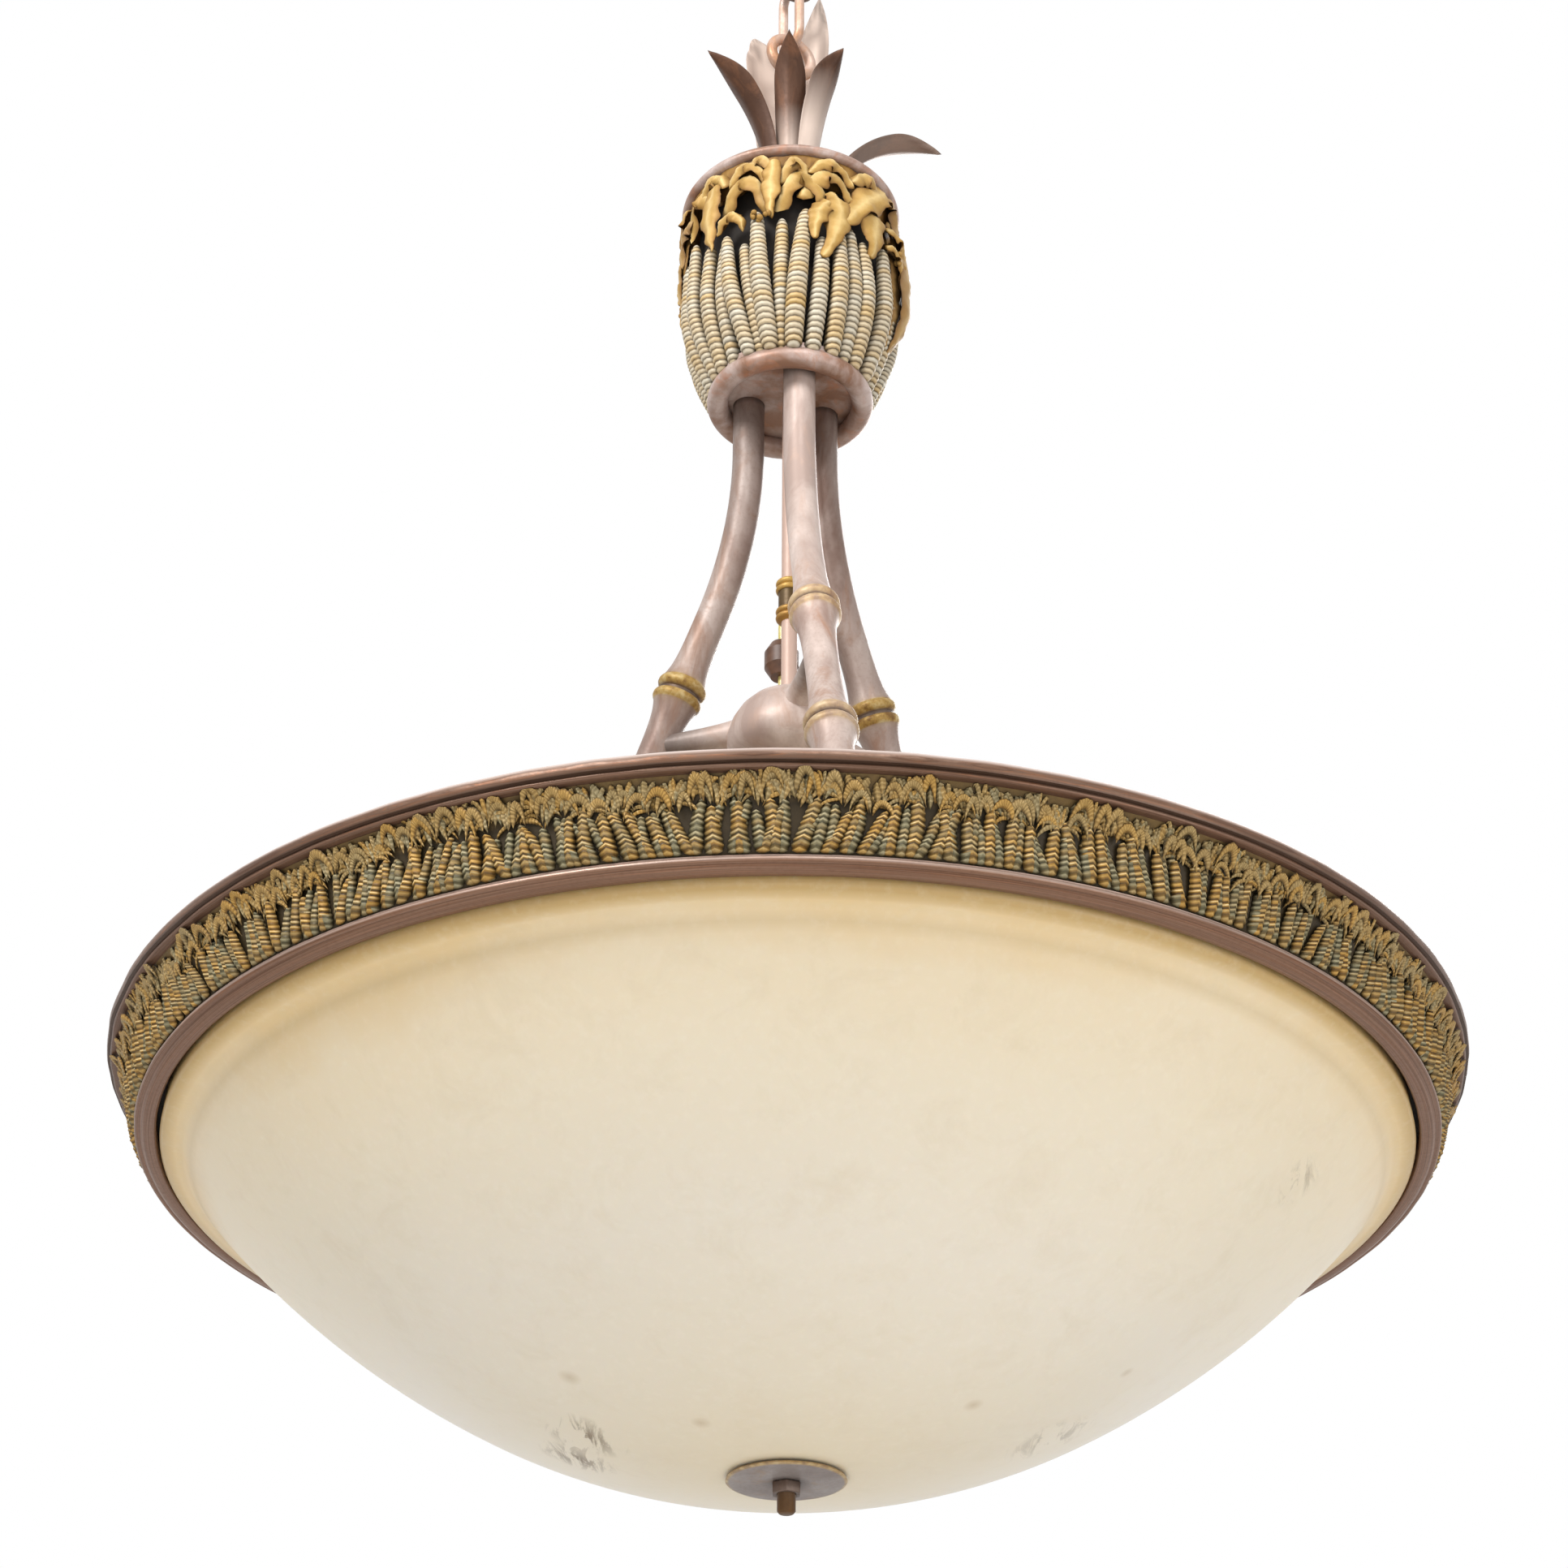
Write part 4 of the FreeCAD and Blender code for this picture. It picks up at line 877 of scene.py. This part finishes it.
# each frond: four spots of degrees from the front, level and depth;
# then half width, tip share, gilding and upward lean
urnFrondSpots = [
    (((-38, 618, 0), (-37, 652, 2), (-12, 652, 2), (-12, 608, 0)), 11.0, 0.6, 1.0, 1.0),
    (((-43, 647, 3), (-46, 632, 7), (-47, 612, 7), (-44, 588, 5)), 8.0, 0.25, 1.0, 0.2),
    (((-46, 630, 1), (-52, 658, 3), (-67, 656, 3), (-69, 620, 1)), 10.0, 0.5, 1.0, 1.0),
    (((-64, 634, 2), (-72, 638, 5), (-82, 632, 6), (-78, 606, 4)), 8.5, 0.3, 0.3, 0.3),
    (((-41, 600, 5), (-34, 615, 8), (-26, 615, 9), (-24, 592, 7)), 6.0, 0.4, 1.0, 0.8),
    (((-9, 654, 2), (-10, 640, 6), (-11, 622, 6), (-10, 602, 4)), 6.0, 0.35, 1.0, 0.1),
    (((-7, 610, 0), (-6, 656, 2), (19, 652, 2), (23, 598, 1)), 11.5, 0.6, 1.0, 1.0),
    (((19, 627, 3), (28, 622, 8), (26, 594, 9), (16, 568, 6)), 8.5, 0.4, 1.0, 0.3),
    (((20, 618, 5), (15, 612, 9), (11, 598, 9), (12, 582, 7)), 6.5, 0.4, 1.0, 0.4),
    (((-34, 638, 2), (-30, 660, 4), (-16, 658, 4), (-11, 632, 2)), 8.0, 0.5, 1.0, 0.9),
    (((-6, 632, 1), (-4, 660, 3), (8, 660, 3), (10, 632, 1)), 9.0, 0.6, 0.9, 1.0),
    (((7, 620, 1), (9, 652, 3), (29, 653, 3), (36, 620, 2)), 10.0, 0.5, 1.0, 0.9),
    (((61, 655, 2), (53, 648, 7), (38, 628, 8), (27, 600, 6)), 11.0, 0.5, 1.0, 0.5),
    (((60, 655, 1), (70, 658, 4), (81, 650, 5), (70, 614, 3)), 10.5, 0.4, 0.25, 0.6),
    (((47, 632, 3), (47, 622, 8), (47, 606, 9), (45, 584, 6)), 10.5, 0.4, 1.0, 0.3),
    (((60, 622, 4), (68, 628, 9), (78, 622, 10), (80, 600, 7)), 7.5, 0.4, 1.0, 0.5),
    (((58, 604, 5), (66, 612, 10), (74, 604, 10), (74, 584, 7)), 6.0, 0.4, 1.0, 0.6),
    (((10, 642, 2), (15, 660, 4), (27, 660, 4), (35, 638, 2)), 8.5, 0.5, 1.0, 0.7),
    (((34, 644, 2), (40, 660, 4), (50, 660, 4), (56, 640, 2)), 8.5, 0.5, 0.8, 0.7),
    (((-24, 647, 2), (-19, 661, 3), (-13, 660, 3), (-8, 640, 2)), 7.0, 0.5, 0.8, 0.8),
    (((-37, 642, 2), (-41, 660, 4), (-49, 660, 4), (-56, 638, 2)), 8.5, 0.5, 1.0, 0.7),
    (((-72, 652, 2), (-80, 658, 4), (-90, 650, 4), (-95, 620, 2)), 9.0, 0.4, 0.9, 0.8),
    (((-80, 616, 3), (-84, 612, 7), (-88, 592, 6), (-82, 570, 3)), 6.0, 0.3, 0.7, 0.2),
    (((-74, 632, 0), (-80, 626, 4), (-86, 608, 4), (-80, 588, 2)), 9.0, 0.4, 0.5, 0.1),
    (((68, 640, 0), (74, 632, 4), (80, 612, 4), (76, 588, 2)), 9.0, 0.4, 0.4, 0.1),
]

# long leaves that hang beside the urn on the right
urnSideLeaves = [
    (((74, 622, 3), (80, 618, 13), (83, 572, 15), (76, 534, 4)), 12.5, 0.25, 0.35, 0.1),
    (((70, 622, 1), (76, 614, 6), (78, 570, 7), (73, 536, 2)), 13.0, 0.3, 0.3, 0.1),
    (((82, 618, 1), (88, 612, 7), (90, 572, 8), (84, 540, 2)), 12.0, 0.3, 0.3, 0.1),
]


def urnReach(up):
    bulge = math.sin(fade(up, urnSet["low"], urnSet["low"] + urnSet["bulgeRise"]) * math.pi / 2)
    flare = max(0.0, (up - urnSet["flareLevel"]) / urnSet["flareRise"])
    return urnSet["waist"] + urnSet["bulge"] * bulge + urnSet["flare"] * flare


def urnSpot(bearing, up, depth):
    return Vector((math.radians(bearing) * urnSet["round"], depth, up))


def wrapUrn(spot):
    reach = urnReach(spot.z) + spot.y
    turn = spot.x / urnSet["round"] + math.radians(urnSet["front"])
    return Vector((reach * math.cos(turn), reach * math.sin(turn), min(spot.z, urnSet["high"] + 0.5)))


def wrapAll(bm):
    for vert in bm.verts:
        vert.co = wrapUrn(vert.co)
    bmesh.ops.remove_doubles(bm, verts=bm.verts, dist=0.004)


def buildUrnTrunks(rng):
    bm = newMesh()
    for half in (0, 180):  # the same palms stand on the front and on the back
        for foot, head, top, depth in urnTrunkSpots:
            radius = rng.uniform(*urnSet["trunkRadius"])
            cut = dict(urnTrunkCut, radius=radius, sway=rng.uniform(*urnSet["trunkSway"]))
            ends = urnSpot(foot + half, urnSet["foot"], depth), urnSpot(head + half, top, depth)
            trunk(bm, *ends, cut, rng.uniform(*urnSet["trunkGilding"]))
    wrapAll(bm)
    finishPiece("urnTrunks", bm, "trunk", "fixture", ["urn_body"])


urnCoreSet = {"levels": range(514, 640, 9), "inset": 9.0, "rim": 64.0, "bore": 40.0, "low": 514.2,
              "top": 655.8}


def buildUrnCore():
    bore, low, top = pick(urnCoreSet, "bore", "low", "top")
    bm = newMesh()
    outline = [(urnReach(up) - urnCoreSet["inset"], up) for up in urnCoreSet["levels"]]
    spun(bm, outline + [(urnCoreSet["rim"], top), (bore, top), (bore, low)], 96)
    finishPiece("urnCore", bm, "core", "fixture")


def buildUrnCollar():
    bm = newMesh()
    spun(bm, [(66, 638), (68.5, 643), (70, 650), (70.6, 658.6), (62, 658.6), (62, 640)], 160)
    ripple(bm, 2.2, 0.13)
    tag(bm, bm.verts, lift=lambda vert: 0.35 + 0.5 * noise.noise(vert.co * 0.2), gold=1.0)
    finishPiece("urnCollar", bm, "palm", "fixture")


def buildUrnFronds():
    bm = newMesh()
    for half in (0, 180):
        for spots, wide, tip, gold, lean in urnFrondSpots + ([] if half else urnSideLeaves):
            path = [urnSpot(bearing + half, up, depth) for bearing, up, depth in spots]
            cup = 0.5 if lean > 0.6 else 0.14  # canopies arch over, hanging leaves lie flat
            ruffle = 0.2 if lean > 0.2 else 0.0
            cut = dict(urnFrondCut, half=wide, tip=tip, cup=cup, ruffle=ruffle)
            blade(bm, path, cut, lambda run: outward(run, lean), gold)
    wrapAll(bm)
    crumple(bm, 1.5, 0.13)
    crumple(bm, 0.5, 0.45)
    finishPiece("urnFronds", bm, "palm", "fixture", ["urn_fronds"])


urnFruitSet = {"bearings": (-15, 70, 165, 250), "berries": 9, "level": 604.0, "radius": (1.7, 2.4)}


def buildUrnFruit(rng):
    bm = newMesh()
    for bearing in urnFruitSet["bearings"]:
        for berry in range(urnFruitSet["berries"]):
            spread, rise = rng.uniform(-4, 4), rng.uniform(-5, 5)
            place = urnSpot(bearing + spread, urnFruitSet["level"] + rise, rng.uniform(6, 9.5))
            bmesh.ops.create_icosphere(bm, subdivisions=2, radius=rng.uniform(*urnFruitSet["radius"]),
                                       matrix=Matrix.Translation(wrapUrn(place)))
    tag(bm, bm.verts, lift=0.55, gold=1.0)
    finishPiece("urnFruit", bm, "palm", "fixture")


def buildUrn():
    rng = random.Random(urnSet["seed"])
    noise.seed_set(urnSet["seed"])  # for the fronds' crumple
    buildUrnTrunks(rng)
    buildUrnCore()
    buildUrnCollar()
    buildUrnFronds()
    buildUrnFruit(rng)


urnMetalSet = {"lid": 60.0, "neck": 62.0, "neckDrop": 7.2, "bead": 3.8, "beadReach": 71.0, "dish": 0.6,
               "ring": (47.9, 504.0), "ringRadius": 7.0, "steps": 112}


def buildUrnCap():
    top, low = level("urn_cap"), level("urn_cap", False)
    lid, neck, bead, steps = pick(urnMetalSet, "lid", "neck", "bead", "steps")
    dish = top - urnMetalSet["dish"]
    bm = newMesh()
    outline = [(0.01, low), (lid, low), (neck, top - urnMetalSet["neckDrop"])]
    outline += arcPoints((urnMetalSet["beadReach"], top - bead), bead, -90, 90, 11)
    spun(bm, outline + [(neck, dish), (0.01, dish)], steps, False)
    finishPiece("urnCap", bm, "urnMetal", "fixture", ["urn_cap"], 0.02)


# a round bar, open where the urn's foot sits on it
def buildUrnBaseRing():
    middle, radius, steps = pick(urnMetalSet, "ring", "ringRadius", "steps")
    bm = newMesh()
    spun(bm, arcPoints(middle, radius, 134.4, 405.6, 26), steps)
    finishPiece("urnBaseRing", bm, "urnMetal", "fixture", ["urn_base_ring"])


# crown leaves: folded along a raised midrib, painted dark towards the tips and pale at the stalks as shade
# and light
# elbow and tip are steps out and up from the stalk's foot
# fade is the share of the height where the pale ends
leafSet = [
    {"bearing": 210, "elbow": (-2, 92), "tip": (52, 126), "pale": 0.5, "fade": 0.25,
     "cut": {"half": 12.0, "tip": 0.1}},
    {"bearing": 128, "elbow": (12, 140), "tip": (20, 198), "pale": 1.0, "fade": 1.3,
     "cut": {"half": 20.0, "tip": 0.8, "close": 0.25, "cup": 0.2}},
    {"bearing": 268, "elbow": (-4, 95), "tip": (29, 136), "pale": 0.66, "fade": 0.46,
     "cut": {"half": 11.0, "tip": 0.1, "root": 0.6}},
    {"bearing": 315, "elbow": (4, 100), "tip": (36, 126), "pale": 0.84, "fade": 0.72,
     "cut": {"half": 11.5, "tip": 0.1, "root": 0.65}},
    {"bearing": 2, "elbow": (31, 86), "tip": (90, 64), "pale": 0.22, "fade": 1.3,
     "cut": {"half": 11.0, "tip": 0.1}},
    {"bearing": 58, "elbow": (16, 130), "tip": (24, 250), "pale": 1.0, "fade": 1.3,
     "cut": {"half": 14.0, "tip": 0.1}},
]
leafCut = {"root": 0.42, "widest": 0.7, "close": 0.05, "thick": 1.7, "cup": 0.4, "teeth": 0.0, "turns": 0,
           "ruffle": 0.0, "fold": 1.1, "around": 16, "steps": 44}
crownSet = {"foot": 16.0, "sink": 0.5, "blend": 0.18}


def leafFacing(run):
    return Vector((run.z, 0, -run.x))


def buildLeaf(number, leaf):
    low = level("urn_cap") - crownSet["sink"]
    base = Vector((crownSet["foot"], 0, low))
    elbow, tip = [base + Vector((out, 0, up)) for out, up in pick(leaf, "elbow", "tip")]
    bm = newMesh()
    path = [base, base.lerp(elbow, 2 / 3), tip.lerp(elbow, 2 / 3), tip]
    blade(bm, path, dict(leafCut, **leaf["cut"]), leafFacing, 0.0)
    height = max(vert.co.z for vert in bm.verts) - low
    blend = crownSet["blend"]

    # painted light and shade: pale low on the leaf, dark towards the tip
    def bloom(vert):
        share = (leaf["fade"] + blend - (vert.co.z - low) / height) / (2 * blend)
        return leaf["pale"] * max(0.0, min(1.0, share)) * (0.8 + 0.2 * math.cos(vert.co.y * 1.6))

    tag(bm, bm.verts, lift=bloom)
    turn = Matrix.Rotation(math.radians(leaf["bearing"]), 4, "Z")
    nodes = ["crown_leaf_%d" % number]
    finishPiece("crownLeaf%d" % number, bm, "leaf", "fixture", nodes, 0.004, place=turn)


# chain: round-wire loops and one link
chainSet = {"turn": 30.0, "eye": 16.0, "wire": 4.0, "linkWire": 3.5, "bow": 11.5, "sides": 20, "collar": 9.0,
            "collarHeight": 16.0, "thread": 4.8, "threadDepth": 14.0}
chainTurn = Matrix.Rotation(math.radians(chainSet["turn"]), 4, "Z")


def loopSpots(middle, radius, count=64):
    turns = [math.tau * step / count for step in range(count)]
    return [Vector((radius * math.cos(turn), 0, middle + radius * math.sin(turn))) for turn in turns]


# two half rounds; the tube's straight sides join them
def linkSpots(top, low, bow, count=32):
    spots = []
    for middle, start in ((top - bow, 0.0), (low + bow, math.pi)):
        for step in range(count):
            turn = start + math.pi * step / (count - 1)
            spots.append(Vector((bow * math.cos(turn), 0, middle + bow * math.sin(turn))))
    return spots


def buildCeilingLoop():
    eye, wire, sides, collar, thread = pick(chainSet, "eye", "wire", "sides", "collar", "thread")
    top = level("ceiling_loop")
    depth = top - chainSet["threadDepth"]
    bm = newMesh()
    tube(bm, loopSpots(top - chainSet["collarHeight"] - eye, eye), wire, sides, True)
    spun(bm, [(thread, top), (8.2, top), (collar, top - 0.8), (collar, top - 13), (7.4, top - 17),
              (0.01, top - 17.5), (0.01, depth), (thread, depth)], 48)
    finishPiece("ceilingLoop", bm, "dark", "ceiling", ["ceiling_loop"], place=chainTurn)


def buildLink():
    wire, sides = pick(chainSet, "linkWire", "sides")
    top, low = level("chain_link") - wire, level("chain_link", False) + wire
    bm = newMesh()
    tube(bm, linkSpots(top, low, chainSet["bow"]), wire, sides, True)
    across = chainTurn @ Matrix.Rotation(math.pi / 2, 4, "Z")
    finishPiece("chainLink", bm, "link", "link", ["chain_link"], place=across)


def buildFixtureLoop():
    eye, wire, sides, collar = pick(chainSet, "eye", "wire", "sides", "collar")
    top, low = level("fixture_loop"), level("fixture_loop", False)
    bm = newMesh()
    tube(bm, loopSpots(top - wire - eye, eye), wire, sides, True)
    spun(bm, [(0.01, low), (collar, low), (collar, low + 9), (7, low + 14), (0.01, low + 15)], 48, False)
    finishPiece("fixtureLoop", bm, "link", "fixture", ["fixture_loop"], place=chainTurn)


# small turned pieces and plain nodes
hubSet = {"bore": 5.2, "round": 38.0, "strut": 252.0, "root": 14.0, "end": 86.0, "steps": 12,
          "strutRadius": 7.2, "flare": 9.0, "flareRun": 16.0}


def buildHub():
    top, low = level("spreader_hub"), level("spreader_hub", False)
    bore, wide, root, end, steps = pick(hubSet, "bore", "round", "root", "end", "steps")
    bm = newMesh()
    outline = [(bore, top), (11, top - 0.4), (18, top - 2.6), (25, top - 7.5), (31, top - 14),
               (35.5, top - 22), (wide, top - 31), (wide, top - 38), (35.5, top - 44), (29, low + 3),
               (20, low), (bore, low)]
    spun(bm, outline, 64)
    reaches = [root + (end - root) * step / steps for step in range(steps + 1)]
    thin, flare, run = pick(hubSet, "strutRadius", "flare", "flareRun")
    radii = [thin + flare * math.exp(-(reach - root) / run) for reach in reaches]
    for index in range(3):
        turn = math.radians(armSet["bearing"] + 120 * index)
        way = Vector((math.cos(turn), math.sin(turn), 0))
        tube(bm, [way * reach + Vector((0, 0, hubSet["strut"])) for reach in reaches], radii)
    # painted shade: the struts darken towards the arms, where the arms' shadow falls
    tag(bm, bm.verts, lift=0.22, shade=lambda vert: 0.72 * fade(axisGap(vert.co), 40, 72))
    finishPiece("hubBell", bm, "bamboo", "fixture", ["spreader_hub"])


couplingSet = {"bore": 5.0, "half": 16.0, "rings": (-13, -8.4, 8.4, 13), "ringReach": 6.6, "ring": 2.1,
               "waist": 6.6}


def buildCoupling():
    mid = (level("rod_coupling") + level("rod_coupling", False)) / 2
    bore, half, ringReach, radius, waist = pick(couplingSet, "bore", "half", "ringReach", "ring", "waist")
    bm = newMesh()
    outline = [(bore, mid - half)]
    for ring in couplingSet["rings"]:
        outline += arcPoints((ringReach, mid + ring), radius, -80, 80, 7)
    spun(bm, outline + [(bore, mid + half)], 40)
    # painted shade in the waist between the rings
    tag(bm, bm.verts, shade=lambda vert: 0.85 if abs(vert.co.z - mid) < waist else 0.0)
    finishPiece("rodCoupling", bm, "gold", "fixture", ["rod_coupling"])


def trio(name):
    return ["%s_%d" % (name, number) for number in (1, 2, 3)]


# nodes that show as they are, only with a new finish
plainNodes = {
    "dark": trio("spoke") + ["spider_plate", "spoke_screws"],
    "urnMetal": ["urn_base_plate", "crown_stem"],
    "rim": ["ring_band"] + trio("arm_foot") + trio("lamp_stem"),
    "black": trio("lampholder"),
    "lamp": trio("bulb"),
    "shell": trio("bulb_cap"),
    "brown": ["wire_connector"],
    "wire": ["lamp_wire"],
    "felt": ["rim_gasket", "bowl_washer_upper", "bowl_washer_lower"],
}


def dressPlainNodes():
    for mat, names in plainNodes.items():
        for name in names:
            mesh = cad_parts[name].data
            mesh.materials.clear()
            mesh.materials.append(mats[mat])


buildUpperRim()
buildLowerRim()
buildFrieze()
print("ring built")
buildBowl()
buildDisc()
buildNut()
buildRod()
print("bowl and finial built")
buildArms()
buildUrn()
buildUrnCap()
buildUrnBaseRing()
print("arms and urn built")
for leafNumber, leaf in enumerate(leafSet, 1):
    buildLeaf(leafNumber, leaf)
buildCeilingLoop()
buildLink()
buildFixtureLoop()
buildHub()
buildCoupling()
dressPlainNodes()
print("crown, chain and small pieces built")


# studio: white surround, pale floor, soft key and fill
studioSet = {"glow": 0.5, "seen": 1.0, "floor": -2.7, "floorHalf": 7}


def buildSurround():
    world = bpy.data.worlds.new("studio")
    bpy.context.scene.world = world
    world.use_nodes = True
    tree = world.node_tree
    lit = tree.nodes["Background"]
    setSockets(lit, {"Color": (1, 1, 1, 1), "Strength": studioSet["glow"]})
    seen = addNode(tree, "ShaderNodeBackground")
    setSockets(seen, {"Color": (1, 1, 1, 1), "Strength": studioSet["seen"]})
    path = addNode(tree, "ShaderNodeLightPath")
    mix = addNode(tree, "ShaderNodeMixShader")
    shown = maths(tree, "ADD", path.outputs["Is Glossy Ray"], path.outputs["Is Transmission Ray"])
    tree.links.new(maths(tree, "ADD", path.outputs["Is Camera Ray"], shown), mix.inputs[0])
    tree.links.new(lit.outputs[0], mix.inputs[1])
    tree.links.new(seen.outputs[0], mix.inputs[2])
    tree.links.new(mix.outputs[0], tree.nodes["World Output"].inputs["Surface"])


def buildFloor():
    bm = bmesh.new()
    place = Matrix.Translation((0, 0, studioSet["floor"]))
    bmesh.ops.create_grid(bm, x_segments=1, y_segments=1, size=studioSet["floorHalf"], matrix=place)
    mesh = bpy.data.meshes.new("floor")
    bm.to_mesh(mesh)
    bm.free()
    floor = bpy.data.objects.new("floor", mesh)
    bpy.context.scene.collection.objects.link(floor)
    mesh.materials.append(plainSpeckle("paleFloor", (0.82, 0.82, 0.81), (0.86, 0.86, 0.85), 3, 0.8))


lampSet = [
    {"name": "key", "spot": (-1.85, -2.7, 1.25), "size": 1.6, "power": 122},
    {"name": "fill", "spot": (2.4, -2.2, -1.2), "size": 2.2, "power": 30},
    {"name": "front", "spot": (0.4, -2.5, 1.5), "size": 0.9, "power": 30},
    {"name": "low", "spot": (-0.3, -2.6, -2.3), "size": 2.0, "power": 14},
    {"name": "back", "spot": (0.8, 2.6, 0.8), "size": 1.8, "power": 55},
]


def buildLights():
    aim = Vector((0, 0, ringTop + 0.1))
    for lamp in lampSet:
        data = bpy.data.lights.new(lamp["name"], "AREA")
        data.shape = "DISK"
        data.size = lamp["size"]
        data.energy = lamp["power"]
        light = bpy.data.objects.new(lamp["name"], data)
        light.location = lamp["spot"]
        light.rotation_euler = (aim - Vector(lamp["spot"])).to_track_quat("-Z", "Y").to_euler()
        bpy.context.scene.collection.objects.link(light)


# metres and degrees; the focal length is given in pixels of the picture's width
cameraSet = {"away": 1.516, "below": 0.710, "pitch": 31.26, "aside": -0.0029, "roll": 0.25, "sensor": 36,
             "focalPixels": 3589, "pictureWidth": 1932}


def buildCamera():
    data = bpy.data.cameras.new("view")
    data.sensor_width = cameraSet["sensor"]
    data.lens = cameraSet["focalPixels"] / cameraSet["pictureWidth"] * cameraSet["sensor"]
    data.clip_start = 0.05
    data.clip_end = 50
    camera = bpy.data.objects.new("view", data)
    camera.location = (cameraSet["aside"], -cameraSet["away"], ringTop - cameraSet["below"])
    pitch = Matrix.Rotation(math.radians(90 + cameraSet["pitch"]), 3, "X")
    roll = Matrix.Rotation(math.radians(cameraSet["roll"]), 3, "Z")
    camera.rotation_euler = (pitch @ roll).to_euler()
    bpy.context.scene.collection.objects.link(camera)
    bpy.context.scene.camera = camera


buildSurround()
buildFloor()
buildLights()
buildCamera()
bpy.context.scene.view_settings.view_transform = "Standard"
print("studio, lights and camera set")
